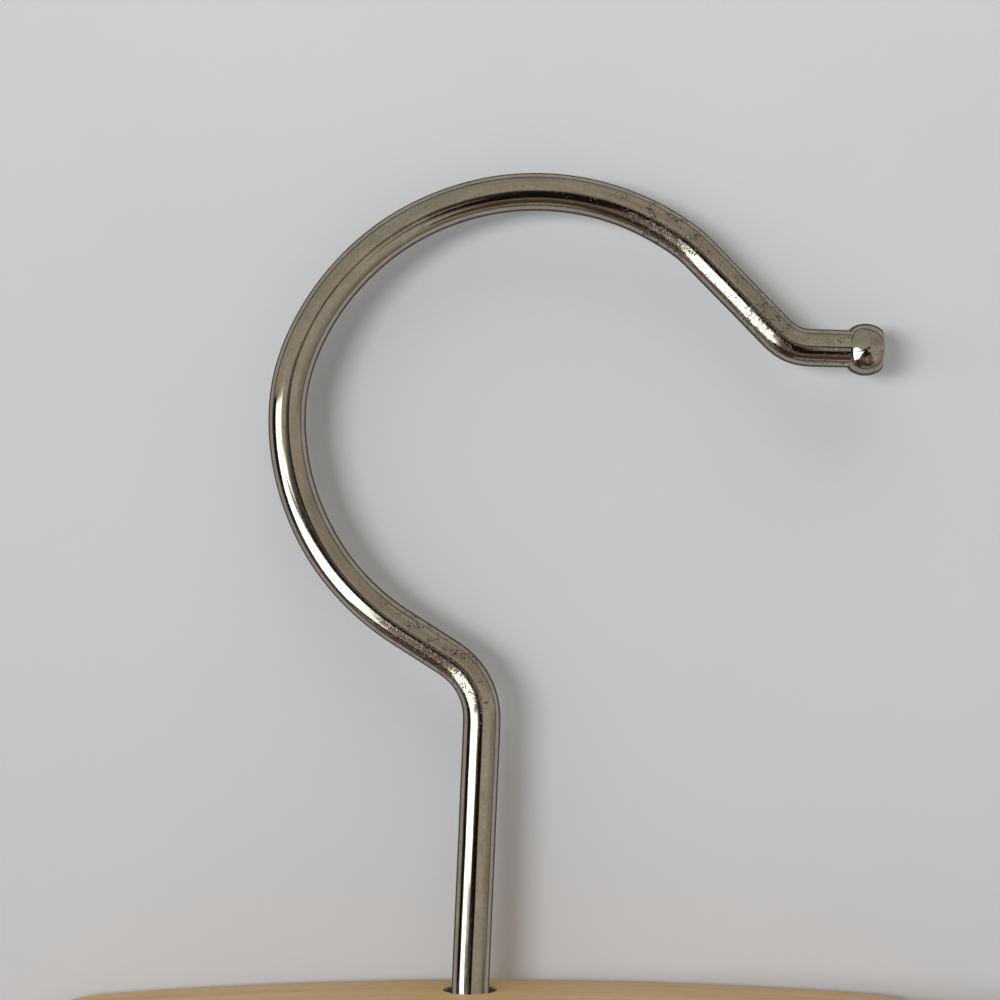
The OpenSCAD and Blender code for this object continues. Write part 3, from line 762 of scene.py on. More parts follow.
class HANGER_OT_hook(bpy.types.Operator):
    """Bends the hook's wire and presses the ball over its tip"""

    bl_idname = "hanger.hook"
    bl_label = "Wire hook"

    def execute(self, context):
        radius = sizes().wire_diameter / MM / 2
        shape = sweep_wire(
            HOOK_RUNS, math.pi / 2, radius, HOOK_SIDES, 0.5, fine_spans=((0, THREAD_L), SHARP_BEND),
            fine_step=0.12, ease=0.9, shape_ring=shape_hook_ring, worn=HOOK_WEAR)
        place_shape(shape, TO_HOOK @ Matrix.Translation((0, 0, -STEM_LOW)))
        wire = finish_piece("bent_hook_wire", shape, plated_wire_material(), sharp=50)
        attach(wire, "hook", "nickel_wire", "hook_wire")
        self.ball(radius)
        return {"FINISHED"}

    def ball(self, wire_r):
        """Short ball with a lip at its seam, a flattened end and two dents from the press."""
        ball_r = node_size("hook_ball_end").y / MM / 2
        profile = [(wire_r + 0.01, 0.35), (wire_r + 0.02, 0.04), (wire_r + 0.1, -0.02)]
        for i in range(17):
            h = BALL_LIP + (BALL_L - BALL_LIP - 0.25) * i / 16
            level = (h - BALL_L / 2 + 0.05) / ball_r
            profile.append((ball_r * math.sqrt(max(0.0, 1 - level * level)), h))
        end_r = profile[-1][0]
        profile += [(end_r * 0.93, BALL_L - 0.08), (end_r * 0.8, BALL_L), (end_r * 0.4, BALL_L), (0, BALL_L)]
        shape = spin_profile(profile, ROUND_SIDES)
        for v in shape.verts:
            around = math.atan2(v.co.y, v.co.x)
            for where, level, depth in BALL_DENTS:
                gap = (around - where + math.pi) % math.tau - math.pi
                dent = math.exp(-((gap * ball_r / 0.5) ** 2) - ((v.co.z - level) / 0.45) ** 2)
                flat = Vector((v.co.x, v.co.y, 0))
                if flat.length > wire_r:
                    v.co -= flat.normalized() * depth * dent
        lie = shape.verts.layers.float_vector.new("wire_lie")
        wear = shape.verts.layers.float.new("wear")
        for v in shape.verts:
            v[lie] = v.co * MM + Vector((0, 0, 0.3))
            v[wear] = BALL_WEAR
        tip, direction = hook_end()
        start = tip - ahead(direction) * (HOOK_RUNS[-1][0] - TIP_L)
        place_shape(shape, TO_HOOK @ Matrix.Translation(start) @ turn_left(direction - math.pi / 2, 4))
        ball = finish_piece("pressed_ball_end", shape, plated_wire_material(), sharp=40)
        attach(ball, "hook", "nickel_wire", "hook_ball_end")


class HANGER_OT_hook_fastening(bpy.types.Operator):
    """Makes the nut and washer that hold the hook in the wood"""

    bl_idname = "hanger.hook_fastening"
    bl_label = "Hook fastening"

    def execute(self, context):
        wire_r = sizes().wire_diameter / MM / 2
        washer_r = node_size("hook_washer").x / MM / 2
        bore, top = wire_r + RUN_GAP, -STEM_HOLE_L
        low = top - WASHER_T
        profile = rounded_profile([(bore, low + 0.15), (bore, low), (washer_r, low), (washer_r, top), (bore, top),
                                   (bore, low + 0.15)], 0.14)
        washer = finish_piece(
            "stem_washer", place_shape(spin_profile(profile, ROUND_SIDES), TO_HOOK), zinc_material())
        attach(washer, "back_jaw", "zinc_fastener", "hook_washer")
        self.nut(wire_r)
        return {"FINISHED"}

    def nut(self, wire_r):
        """Hexagon nut with chamfered corners and a chamfered bore."""
        nut_low, nut_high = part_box("hook_nut")
        size = (nut_high - nut_low) / MM
        bottom = (nut_low.z - CROWN_Z) / MM
        top = bottom + size.z
        corner_r = size.x / 2
        half_flat = min(size.y / 2, corner_r * math.cos(math.radians(30)))
        shape = bmesh.new()
        bmesh.ops.create_circle(shape, cap_ends=True, segments=6, radius=corner_r,
                                matrix=Matrix.Translation((0, 0, bottom)) @ Matrix.Rotation(math.radians(30), 4, "Z"))
        thicken(shape, (0, 0, size.z))
        nut = finish_piece("stem_nut", place_shape(shape, TO_HOOK), zinc_material())
        ring_out = corner_r + 2
        drop = (corner_r - half_flat) * 0.6
        cutters = []
        for sign, level in ((1, top), (-1, bottom)):
            outline = [(half_flat - 0.1, level + sign * 0.2), (half_flat - 0.1, level),
                       (ring_out, level - sign * drop * 4), (ring_out, level + sign * 0.2)]
            cutters.append(place_shape(spin_profile(outline, ROUND_SIDES, closed=True), TO_HOOK))
        mouth, bore = wire_r + NUT_CHAMFER, wire_r + FIT_GAP
        hole = [(0, bottom - 0.5), (mouth, bottom - 0.5), (mouth, bottom), (bore, bottom + NUT_CHAMFER),
                (bore, top - NUT_CHAMFER), (mouth, top), (mouth, top + 0.5), (0, top + 0.5)]
        cutters.append(place_shape(spin_profile(hole, 48), TO_HOOK))
        cut_away(nut, cutters, sharp=30)
        attach(nut, "hook", "zinc_fastener", "hook_nut")


# The jaws

def jaw_numbers():
    """The jaws' outline worked out from its sizes."""
    half = node_size("back_jaw").x / MM / 2
    low = (JAW_LOW_Z - CROWN_Z) / MM
    shoulder_z = low + CLAMP_H
    fall = math.atan2(SHOULDER_FALL, half - HUMP_HALF)
    corner_x = HUMP_HALF - CORNER_R
    corner_z = math.sqrt((CROWN_R - CORNER_R) ** 2 - corner_x ** 2) - CROWN_R

    def shoulder_at(x):
        return shoulder_z - (x - HUMP_HALF) * math.tan(fall)

    root_z = shoulder_at(HUMP_HALF + ROOT_R) + ROOT_R / math.cos(fall)
    top_x = half - END_TOP_R
    top_z = shoulder_at(top_x) - END_TOP_R / math.cos(fall)
    return half, low, fall, corner_x, corner_z, root_z, top_x, top_z


def draw_outline(shape, start, heading, runs):
    """Chain of points along straights (length, 0, 0, parts) and bends (0, radius, turn, parts) in the XZ plane."""
    point = bmesh.ops.create_vert(shape, co=(start[0], 0, start[1]))["vert"][0]
    direction = math.radians(heading)
    for length, radius, turn, parts in runs:
        if turn:
            bend = math.radians(turn)
            centre = point.co + aside(direction) * math.copysign(radius, turn)
            made = bmesh.ops.spin(shape, geom=[point], cent=centre, axis=(0, -1 if turn > 0 else 1, 0),
                                  dvec=(0, 0, 0), angle=abs(bend), steps=parts, use_merge=False, use_duplicate=False)
            point = verts_in(made["geom_last"])[0]
            direction += bend
        else:
            for _ in range(parts):
                point = bmesh.ops.extrude_vert_indiv(shape, verts=[point])["verts"][0]
                bmesh.ops.translate(shape, vec=ahead(direction) * (length / parts), verts=[point])


def jaw_shape(near, far, near_round, far_round):
    """Wooden blank between two depths in millimetres, with its edges rounded."""
    half, low, fall, corner_x, corner_z, root_z, top_x, top_z = jaw_numbers()
    slope = math.degrees(fall)
    crown_turn = math.degrees(math.asin(corner_x / (CROWN_R - CORNER_R)))
    root_foot = (HUMP_HALF + ROOT_R) - ROOT_R * math.sin(fall)
    run = (top_x + END_TOP_R * math.sin(fall) - root_foot) / math.cos(fall)
    shape = bmesh.new()
    draw_outline(shape, (0, 0), 0, [
        (0, CROWN_R, -crown_turn, 20),
        (0, CORNER_R, -(90 - crown_turn), 20),
        (corner_z - root_z, 0, 0, 2),
        (0, ROOT_R, 90 - slope, 12),
        (run, 0, 0, 6),
        (0, END_TOP_R, -(90 - slope), 14),
        (top_z - low - END_LOW_R, 0, 0, 1),
        (0, END_LOW_R, -90, 10),
        (half - END_LOW_R, 0, 0, 8)])
    bmesh.ops.mirror(shape, geom=shape.verts[:] + shape.edges[:], matrix=Matrix.Identity(4), merge_dist=1e-4, axis="X")
    bmesh.ops.remove_doubles(shape, verts=shape.verts, dist=1e-3)
    bmesh.ops.contextual_create(shape, geom=shape.edges[:])
    bmesh.ops.translate(shape, vec=(0, near, 0), verts=shape.verts)
    thicken(shape, (0, far - near, 0))
    bmesh.ops.recalc_face_normals(shape, faces=shape.faces)
    for level, round_r in ((near, near_round), (far, far_round)):
        rim = [e for e in shape.edges if all(abs(v.co.y - level) < 1e-4 for v in e.verts)]
        round_edges(shape, rim, round_r, EDGE_PARTS)
    return shape


def torn_bore(radius, top, bottom, seed):
    """Cutter for a bored hole whose rim is slightly torn."""
    profile = [(0, top + 1), (radius + 0.1, top + 1), (radius + 0.08, top + 0.02), (radius + 0.02, top - 0.12),
               (radius, top - 0.4), (radius, bottom), (0, bottom)]
    shape = spin_profile(profile, 72)
    for v in shape.verts:
        flat = Vector((v.co.x, v.co.y, 0))
        if v.co.z > top - 0.5 and flat.length > radius * 0.8:
            around = flat.normalized()
            tear = noise.noise(Vector((around.x * 2.2, around.y * 2.2, seed))) + 0.5 * noise.noise(
                Vector((around.x * 7, around.y * 7, seed + 3)))
            v.co += around * 0.22 * tear
    return shape


def felt_bar(near, far, grow):
    """Block of a felt strip's rebate."""
    low_corner, high_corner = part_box("back_felt")
    half = (high_corner.x - low_corner.x) / MM / 2 + grow
    low = (low_corner.z - CROWN_Z) / MM - grow
    high = (high_corner.z - CROWN_Z) / MM + grow
    return box_shape((-half, near, low), (half, far, high))


def screw_cutter(sign, face):
    """Countersunk holes for one jaw's four screws. sign is 1 for screws that point to the back."""
    head_r, shank_r = SCREW_HEAD_D / 2 + 0.06, SCREW_D / 2 + 0.04
    profile = [(0, -1), (head_r, -1), (head_r, 0.02), (shank_r, (SCREW_HEAD_D - SCREW_D) / 2 + 0.02),
               (shank_r, SCREW_L), (0, SCREW_L)]
    return join_shapes([place_at_screw(spin_profile(profile, HOLE_SIDES), x, sign, face) for x in screw_places()])


def screw_places():
    """Where the screws stand along the jaws."""
    hinge = HINGE_X / MM
    return [side * hinge + end * SCREW_X for side in (-1, 1) for end in (-1, 1)]


def place_at_screw(shape, x, sign, face):
    """Turns a shape drawn along Z so that it enters a jaw at one screw."""
    level = (HINGE_AXIS_Z - CROWN_Z) / MM - SCREW_DEPTH
    turn = Matrix.Rotation(-math.pi / 2 * sign, 4, "X")
    return place_shape(shape, Matrix.Translation((x, face, level)) @ turn)


def pocket_shape():
    """Cutter for the pocket that holds the nut and washer, open to the jaw's inner face."""
    washer = node_size("hook_washer").x / MM
    width, height = washer + POCKET_SIDE_ROOM, STEM_LOW - STEM_HOLE_L + POCKET_ROOM
    near, far = BACK_INNER_Y / MM - 1, washer / 2 + POCKET_ROOM
    x = (HOOK_X - JAW_X) / MM
    shape = box_shape((x - width / 2, near, -STEM_HOLE_L - height), (x + width / 2, far, -STEM_HOLE_L))
    upright = [e for e in shape.edges if abs(e.verts[0].co.y - e.verts[1].co.y) > 1]
    round_edges(shape, upright, 1.5, 6)
    return shape


def make_jaw(side, blank, grain_place, cutters, sharp):
    """A wooden jaw from its blank, with its own cut of wood and its cuts."""
    wood = beech_material(f"Beech of the {side} jaw", grain_place)
    jaw = finish_piece(f"{side}_jaw_beech", place_shape(blank, TO_JAWS), wood)
    cut_away(jaw, [place_shape(cutter, TO_JAWS) for cutter in cutters], sharp)
    even_normals(jaw)
    attach(jaw, f"{side}_jaw", "beech", f"{side}_jaw")


class HANGER_OT_back_jaw(bpy.types.Operator):
    """Shapes the wooden jaw that carries the hook"""

    bl_idname = "hanger.back_jaw"
    bl_label = "Back jaw"

    def execute(self, context):
        near, far = BACK_INNER_Y / MM, BACK_FACE_Y / MM
        blank = jaw_shape(near, far, sizes().inner_round / MM, sizes().outer_round / MM)
        bore = torn_bore(STEM_HOLE_R, 0, -STEM_HOLE_L - 1, 4.0)
        place_shape(bore, Matrix.Translation(((HOOK_X - JAW_X) / MM, 0, 0)))
        pivots = []
        for side in (-1, 1):
            hole = spin_profile([(0, 0), (PIVOT_HOLE_R, 0), (PIVOT_HOLE_R, PIVOT_L + 0.7),
                                 (PIVOT_MOUTH_R, PIVOT_L + 1.15), (PIVOT_MOUTH_R, PIVOT_L + 3),
                                 (0, PIVOT_L + 3)], HOLE_SIDES)
            bottom = Matrix.Translation((side * (HUMP_HALF - PIVOT_L - 1), 0, -PIVOT_DEPTH))
            pivots.append(place_shape(hole, bottom @ Matrix.Rotation(side * math.pi / 2, 4, "Y")))
        make_jaw("back", blank, (0.31, 0.052, 0.017), [
            pocket_shape(), bore, felt_bar(near - 1, near + REBATE_D, FELT_ROOM), join_shapes(pivots),
            screw_cutter(1, near)], sharp=35)
        return {"FINISHED"}


class HANGER_OT_front_jaw(bpy.types.Operator):
    """Shapes the wooden jaw that closes on the trousers"""

    bl_idname = "hanger.front_jaw"
    bl_label = "Front jaw"

    def execute(self, context):
        near, far = FRONT_FACE_Y / MM, FRONT_INNER_Y / MM
        blank = jaw_shape(near, far, sizes().outer_round / MM, sizes().inner_round / MM)
        groove = bmesh.new()
        bmesh.ops.create_cone(groove, cap_ends=True, segments=96, radius1=GROOVE_R, radius2=GROOVE_R,
                              depth=2 * HUMP_HALF + 2)
        axis = Matrix.Translation((0, near + GROOVE_D - GROOVE_R, -PIVOT_DEPTH - BAR_DROP))
        place_shape(groove, axis @ Matrix.Rotation(math.pi / 2, 4, "Y"))
        make_jaw("front", blank, (-0.12, 0.21, -0.043), [
            groove, felt_bar(far - REBATE_D, far + 1, FELT_ROOM), screw_cutter(-1, far)], sharp=28)
        return {"FINISHED"}


class HANGER_OT_felts(bpy.types.Operator):
    """Lays the felt strips in the jaws"""

    bl_idname = "hanger.felts"
    bl_label = "Felt linings"

    def execute(self, context):
        for side in ("back", "front"):
            low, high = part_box(f"{side}_felt")
            shape = bmesh.new()
            bmesh.ops.create_grid(shape, x_segments=240, y_segments=18, size=0.5)
            bmesh.ops.rotate(shape, cent=(0, 0, 0), verts=shape.verts, matrix=Matrix.Rotation(math.pi / 2, 3, "X"))
            size, middle = high - low, (low + high) / 2
            fuzz = sizes().felt_fuzz
            bmesh.ops.scale(shape, vec=(size.x - 2 * fuzz, 1, size.z - 2 * fuzz), verts=shape.verts)
            bmesh.ops.translate(shape, vec=middle, verts=shape.verts)
            thicken(shape, (0, size.y / 2 - fuzz, 0))
            flat = [v for v in shape.verts if abs(v.co.y - middle.y) < 1e-6]
            bmesh.ops.translate(shape, vec=(0, -(size.y / 2 - fuzz), 0), verts=flat)
            bmesh.ops.recalc_face_normals(shape, faces=shape.faces)
            rim = [e for e in shape.edges if len(e.link_faces) == 2 and e.calc_face_angle() > 1]
            round_edges(shape, rim, 0.00035, 2)
            shape.normal_update()
            for v in shape.verts:
                rise = noise.noise(v.co * 420) + 0.6 * noise.noise(v.co * 1500)
                v.co += v.normal * fuzz * 0.6 * rise
            strip = finish_piece(f"{side}_felt_strip", shape, felt_material(), sharp=80)
            attach(strip, f"{side}_jaw", "felt", f"{side}_felt")
        return {"FINISHED"}


# The hinges

def leaf_strip(runs, plate_y, top, x0, x1):
    """Strip of a leaf's outer skin between two places along its pin."""
    shape = bmesh.new()
    draw_outline(shape, (plate_y, -LEAF_H), 90, runs)
    if len(runs) > 2:
        # The plate leans in so that the roll lies round the pin
        for v in shape.verts:
            share = 1.0
            if v.co.z < 0 and plate_y - v.co.x < 1e-4:
                share = max(0.0, 1 - v.co.z / top)
            v.co.x -= KNUCKLE_ROOM * share * share * (3 - 2 * share)
    # Drawn in the XZ plane, then turned so that the plate stands on the jaw's inner face
    place_shape(shape, Matrix.Rotation(math.pi / 2, 4, "Z"))
    sheet = bmesh.ops.extrude_edge_only(shape, edges=shape.edges[:])["geom"]
    bmesh.ops.translate(shape, vec=(x1 - x0, 0, 0), verts=verts_in(sheet))
    return place_shape(shape, Matrix.Translation((x0, 0, 0)))


def leaf_shape(ends):
    """Leaf on the back jaw's side. ends is true where its knuckles are the outer pair."""
    inner = SPRING_ZONE / 2 + KNUCKLE_W
    plate_y = JAW_GAP / MM / 2
    knuckle_r = plate_y - KNUCKLE_ROOM
    top = -(knuckle_r + 0.3)
    plate_h = LEAF_H - SPRING_LEG_L - 0.3
    foot = [(plate_h, 0, 0, 3)]
    bare_runs = foot + [(LEAF_H - plate_h + top, 0, 0, 3)]
    rolled_runs = bare_runs + [(-top, 0, 0, 4), (0, knuckle_r, 300, 30)]
    if ends:
        knuckle, bare = (inner + KNUCKLE_GAP, HINGE_W / 2), (SPRING_ZONE / 2, inner + KNUCKLE_GAP)
    else:
        knuckle, bare = (SPRING_ZONE / 2, inner - KNUCKLE_GAP), (inner - KNUCKLE_GAP, HINGE_W / 2)
    parts = [leaf_strip(runs, plate_y, top, side * x0, side * x1)
             for side in (-1, 1) for (x0, x1), runs in ((knuckle, rolled_runs), (bare, bare_runs))]
    parts.append(leaf_strip(foot, plate_y, top, -SPRING_ZONE / 2, SPRING_ZONE / 2))
    shape = join_shapes(parts)
    bmesh.ops.remove_doubles(shape, verts=shape.verts, dist=1e-3)
    bmesh.ops.recalc_face_normals(shape, faces=shape.faces)
    outer = max(shape.faces, key=lambda f: f.calc_area())
    if outer.normal.y < 0:
        bmesh.ops.reverse_faces(shape, faces=shape.faces)
    bmesh.ops.solidify(shape, geom=shape.faces[:], thickness=LEAF_T - 0.05)
    return shape


class HANGER_OT_hinges(bpy.types.Operator):
    """Makes the two hinges: leaves with rolled knuckles, pins and torsion springs"""

    bl_idname = "hanger.hinges"
    bl_label = "Hinges"

    def execute(self, context):
        for side, label in ((-1, "left"), (1, "right")):
            to_hinge = Matrix.Translation((JAW_X + side * HINGE_X, HINGE_AXIS_Y, HINGE_AXIS_Z)) @ Matrix.Scale(MM, 4)
            self.leaf(label, "back", to_hinge, True)
            self.leaf(label, "front", to_hinge @ Matrix.Scale(-1, 4, (0, 1, 0)), False)
            self.pin(label, to_hinge)
            self.spring(label, to_hinge)
        return {"FINISHED"}

    def leaf(self, label, jaw, to_hinge, ends):
        """One leaf, with its countersunk holes."""
        shape = place_shape(leaf_shape(ends), to_hinge)
        leaf = finish_piece(f"{label}_{jaw}_leaf", shape, zinc_material(), sharp=40)
        cut_away(leaf, [place_shape(screw_cutter(*SCREW_STARTS[jaw]), TO_JAWS)], sharp=40)
        attach(leaf, f"{jaw}_jaw", "zinc_fastener", f"{label}_hinge_{jaw}_leaf")

    def pin(self, label, to_hinge):
        """Pin with domed ends."""
        radius, half = node_size(f"{label}_hinge_pin").y / MM / 2, HINGE_W / 2
        profile = rounded_profile([(0, -half), (radius, -half), (radius, half), (0, half)], 0.35)
        shape = spin_profile(profile, HOLE_SIDES)
        place_shape(shape, to_hinge @ Matrix.Rotation(math.pi / 2, 4, "Y"))
        pin = finish_piece(f"{label}_pin", shape, spring_steel_material())
        attach(pin, "back_jaw", "spring_steel", f"{label}_hinge_pin")

    def spring(self, label, to_hinge):
        """Torsion spring: the coil with its back leg, and the front leg that turns with the front jaw."""
        coil_r = JAW_GAP / MM / 2 - 0.3 - SPRING_WIRE_R
        pitch = (SPRING_ZONE - 0.6 - 4 * SPRING_WIRE_R) / SPRING_TURNS
        start = -pitch * SPRING_TURNS / 2
        leg = self.wire_end((-start, -coil_r, SPRING_TUCK))
        thicken(leg, (0, 0, -SPRING_LEG_L - SPRING_TUCK))
        for shape, part, body, nodes in ((self.coil(coil_r, start, pitch), "coil", "back_jaw", ["spring"]),
                                         (leg, "front_leg", "front_jaw", [])):
            place_shape(shape, to_hinge)
            piece = finish_piece(f"{label}_spring_{part}", shape, spring_steel_material(), sharp=60)
            attach(piece, body, "spring_steel", *[f"{label}_hinge_{node}" for node in nodes])

    def wire_end(self, place):
        """Disc of the spring's wire."""
        shape = bmesh.new()
        bmesh.ops.create_circle(shape, cap_ends=True, segments=SPRING_SIDES, radius=SPRING_WIRE_R,
                                matrix=Matrix.Translation(place))
        return shape

    def coil(self, coil_r, start, pitch):
        """Back leg and coil as one wound wire."""
        shape = self.wire_end((start, coil_r, -SPRING_LEG_L))
        edges = shape.edges[:]
        for _ in range(6):
            made = bmesh.ops.extrude_edge_only(shape, edges=edges)["geom"]
            edges = edges_in(made)
            bmesh.ops.translate(shape, vec=(0, 0, SPRING_LEG_L / 6), verts=verts_in(made))
        steps = int(SPRING_TURNS * 28)
        made = bmesh.ops.spin(shape, geom=edges, cent=(0, 0, 0), axis=(1, 0, 0),
                              dvec=(pitch * SPRING_TURNS / steps, 0, 0), angle=math.tau * SPRING_TURNS, steps=steps,
                              use_merge=False, use_duplicate=False)
        bmesh.ops.contextual_create(shape, geom=edges_in(made["geom_last"]))
        return shape


class HANGER_OT_screws(bpy.types.Operator):
    """Drives the countersunk screws of the hinges"""

    bl_idname = "hanger.screws"
    bl_label = "Hinge screws"

    def execute(self, context):
        pattern = self.one_screw()
        for jaw, (sign, face) in SCREW_STARTS.items():
            screws = []
            for x, turn in zip(screw_places(), SCREW_TURNS):
                screw = bmesh.new()
                screw.from_mesh(pattern.data)
                place_shape(screw, Matrix.Scale(1 / MM, 4))
                place_shape(screw, Matrix.Rotation(math.radians(turn * sign), 4, "Z"))
                screws.append(place_at_screw(screw, x, sign, face))
            shape = place_shape(join_shapes(screws), TO_JAWS)
            piece = finish_piece(f"{jaw}_hinge_screws_set", shape, zinc_material(), sharp=32)
            attach(piece, f"{jaw}_jaw", "zinc_fastener", f"{jaw}_hinge_screws")
        bpy.data.objects.remove(pattern)
        return {"FINISHED"}

    def one_screw(self):
        """Countersunk wood screw along Z with its head at 0 and a cross recess."""
        head, shank = SCREW_HEAD_D / 2, SCREW_D / 2
        profile = [(0, 0.0), (head - 0.12, 0.0), (head, 0.1), (shank, head - shank + 0.1)]
        level, thread_low = 3.2, SCREW_L - 1.2
        profile.append((shank, level))
        while level < thread_low:
            root = shank - SCREW_THREAD_D
            profile += [(root, level + 0.22), (root, level + 0.42), (shank, level + 0.62)]
            level += 0.8
        profile += [(shank * 0.8, SCREW_L - 0.6), (0.12, SCREW_L), (0, SCREW_L)]
        shape = place_shape(spin_profile(profile, HOLE_SIDES), Matrix.Scale(MM, 4))
        screw = finish_piece("screw_pattern", shape, zinc_material())
        bars = []
        for angle in (0, math.pi / 2):
            bar = box_shape((-1.3, -0.26, -0.5), (1.3, 0.26, 0.75))
            for v in bar.verts:
                if v.co.z > 0:
                    v.co.x *= 0.45
                    v.co.y *= 0.7
            bars.append(place_shape(bar, Matrix.Scale(MM, 4) @ Matrix.Rotation(angle, 4, "Z")))
        cut_away(screw, bars)
        return screw


class HANGER_OT_clasp(bpy.types.Operator):
    """Bends the wire clasp"""

    bl_idname = "hanger.clasp"
    bl_label = "Wire clasp"

    def execute(self, context):
        low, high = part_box("wire_clasp")
        radius = sizes().clasp_diameter / MM / 2
        arm_x = (high.x - low.x) / MM / 2 - radius
        bar_y, bar_z = low.y / MM + radius, -BAR_DROP
        reach = math.hypot(bar_y, bar_z)
        tilt = math.atan2(BAR_DROP, -bar_y)
        end = arm_x - PIVOT_BEND_R - (HUMP_HALF - PIVOT_L)
        arm = reach - CLASP_BEND_R - PIVOT_BEND_R
        runs = [(end, 0, 0), (0, PIVOT_BEND_R, -90), (arm, 0, 0), (0, CLASP_BEND_R, -90),
                (2 * (arm_x - CLASP_BEND_R), 0, 0),
                (0, CLASP_BEND_R, -90), (arm, 0, 0), (0, PIVOT_BEND_R, -90), (end, 0, 0)]
        shape = sweep_wire(
            runs, math.pi, radius, 32, 0.6, fine_spans=((end - 1, end + 5), (end + arm, end + arm + 10)),
            fine_step=0.3, ease=0.35, shape_ring=self.shape_clasp_ring,
            worn=((end, 4, 0.4), (end + arm, 5, 0.5), (end + arm + arm_x, 60, 0.15)))
        place_shape(shape, Matrix.Translation((-(HUMP_HALF - PIVOT_L), 0, 0)))
        # Drawn upright in the XZ plane, the loop is tipped forward until its bar lies in the groove
        tip = Matrix.Rotation(math.pi / 2 + tilt, 4, "X")
        place_shape(shape, TO_JAWS @ Matrix.Translation((0, 0, -PIVOT_DEPTH)) @ tip)
        clasp = finish_piece("bent_wire_clasp", shape, plated_wire_material(), sharp=50)
        attach(clasp, "wire_clasp", "nickel_wire", "wire_clasp")
        return {"FINISHED"}

    def shape_clasp_ring(self, s, ring, centre, lie):
        """Narrower cut at the wire's left end, and a slight unevenness."""
        for v in ring:
            out = v.co - centre
            r = out.length - CLASP_CHAMFER * max(0.0, 1 - s / 0.6)
            r += CLASP_UNEVEN * noise.noise(Vector((v[lie].x * 0.3, v[lie].y * 0.3, s * 0.2)))
            v.co = centre + out.normalized() * r


# The stage

def soft_box(tree, azimuth, elevation, span, softness):
    """Mask of a soft-edged rectangle in the sky: span is left, right, low, high in degrees."""
    left, right, low, high = span
    sides = [remap(tree, azimuth, left - softness, left + softness),
             remap(tree, azimuth, right + softness, right - softness),
             remap(tree, elevation, low - softness, low + softness),
             remap(tree, elevation, high + softness, high - softness)]
    mask = sides[0]
    for side in sides[1:]:
        mask = times(tree, mask, side)
    return mask


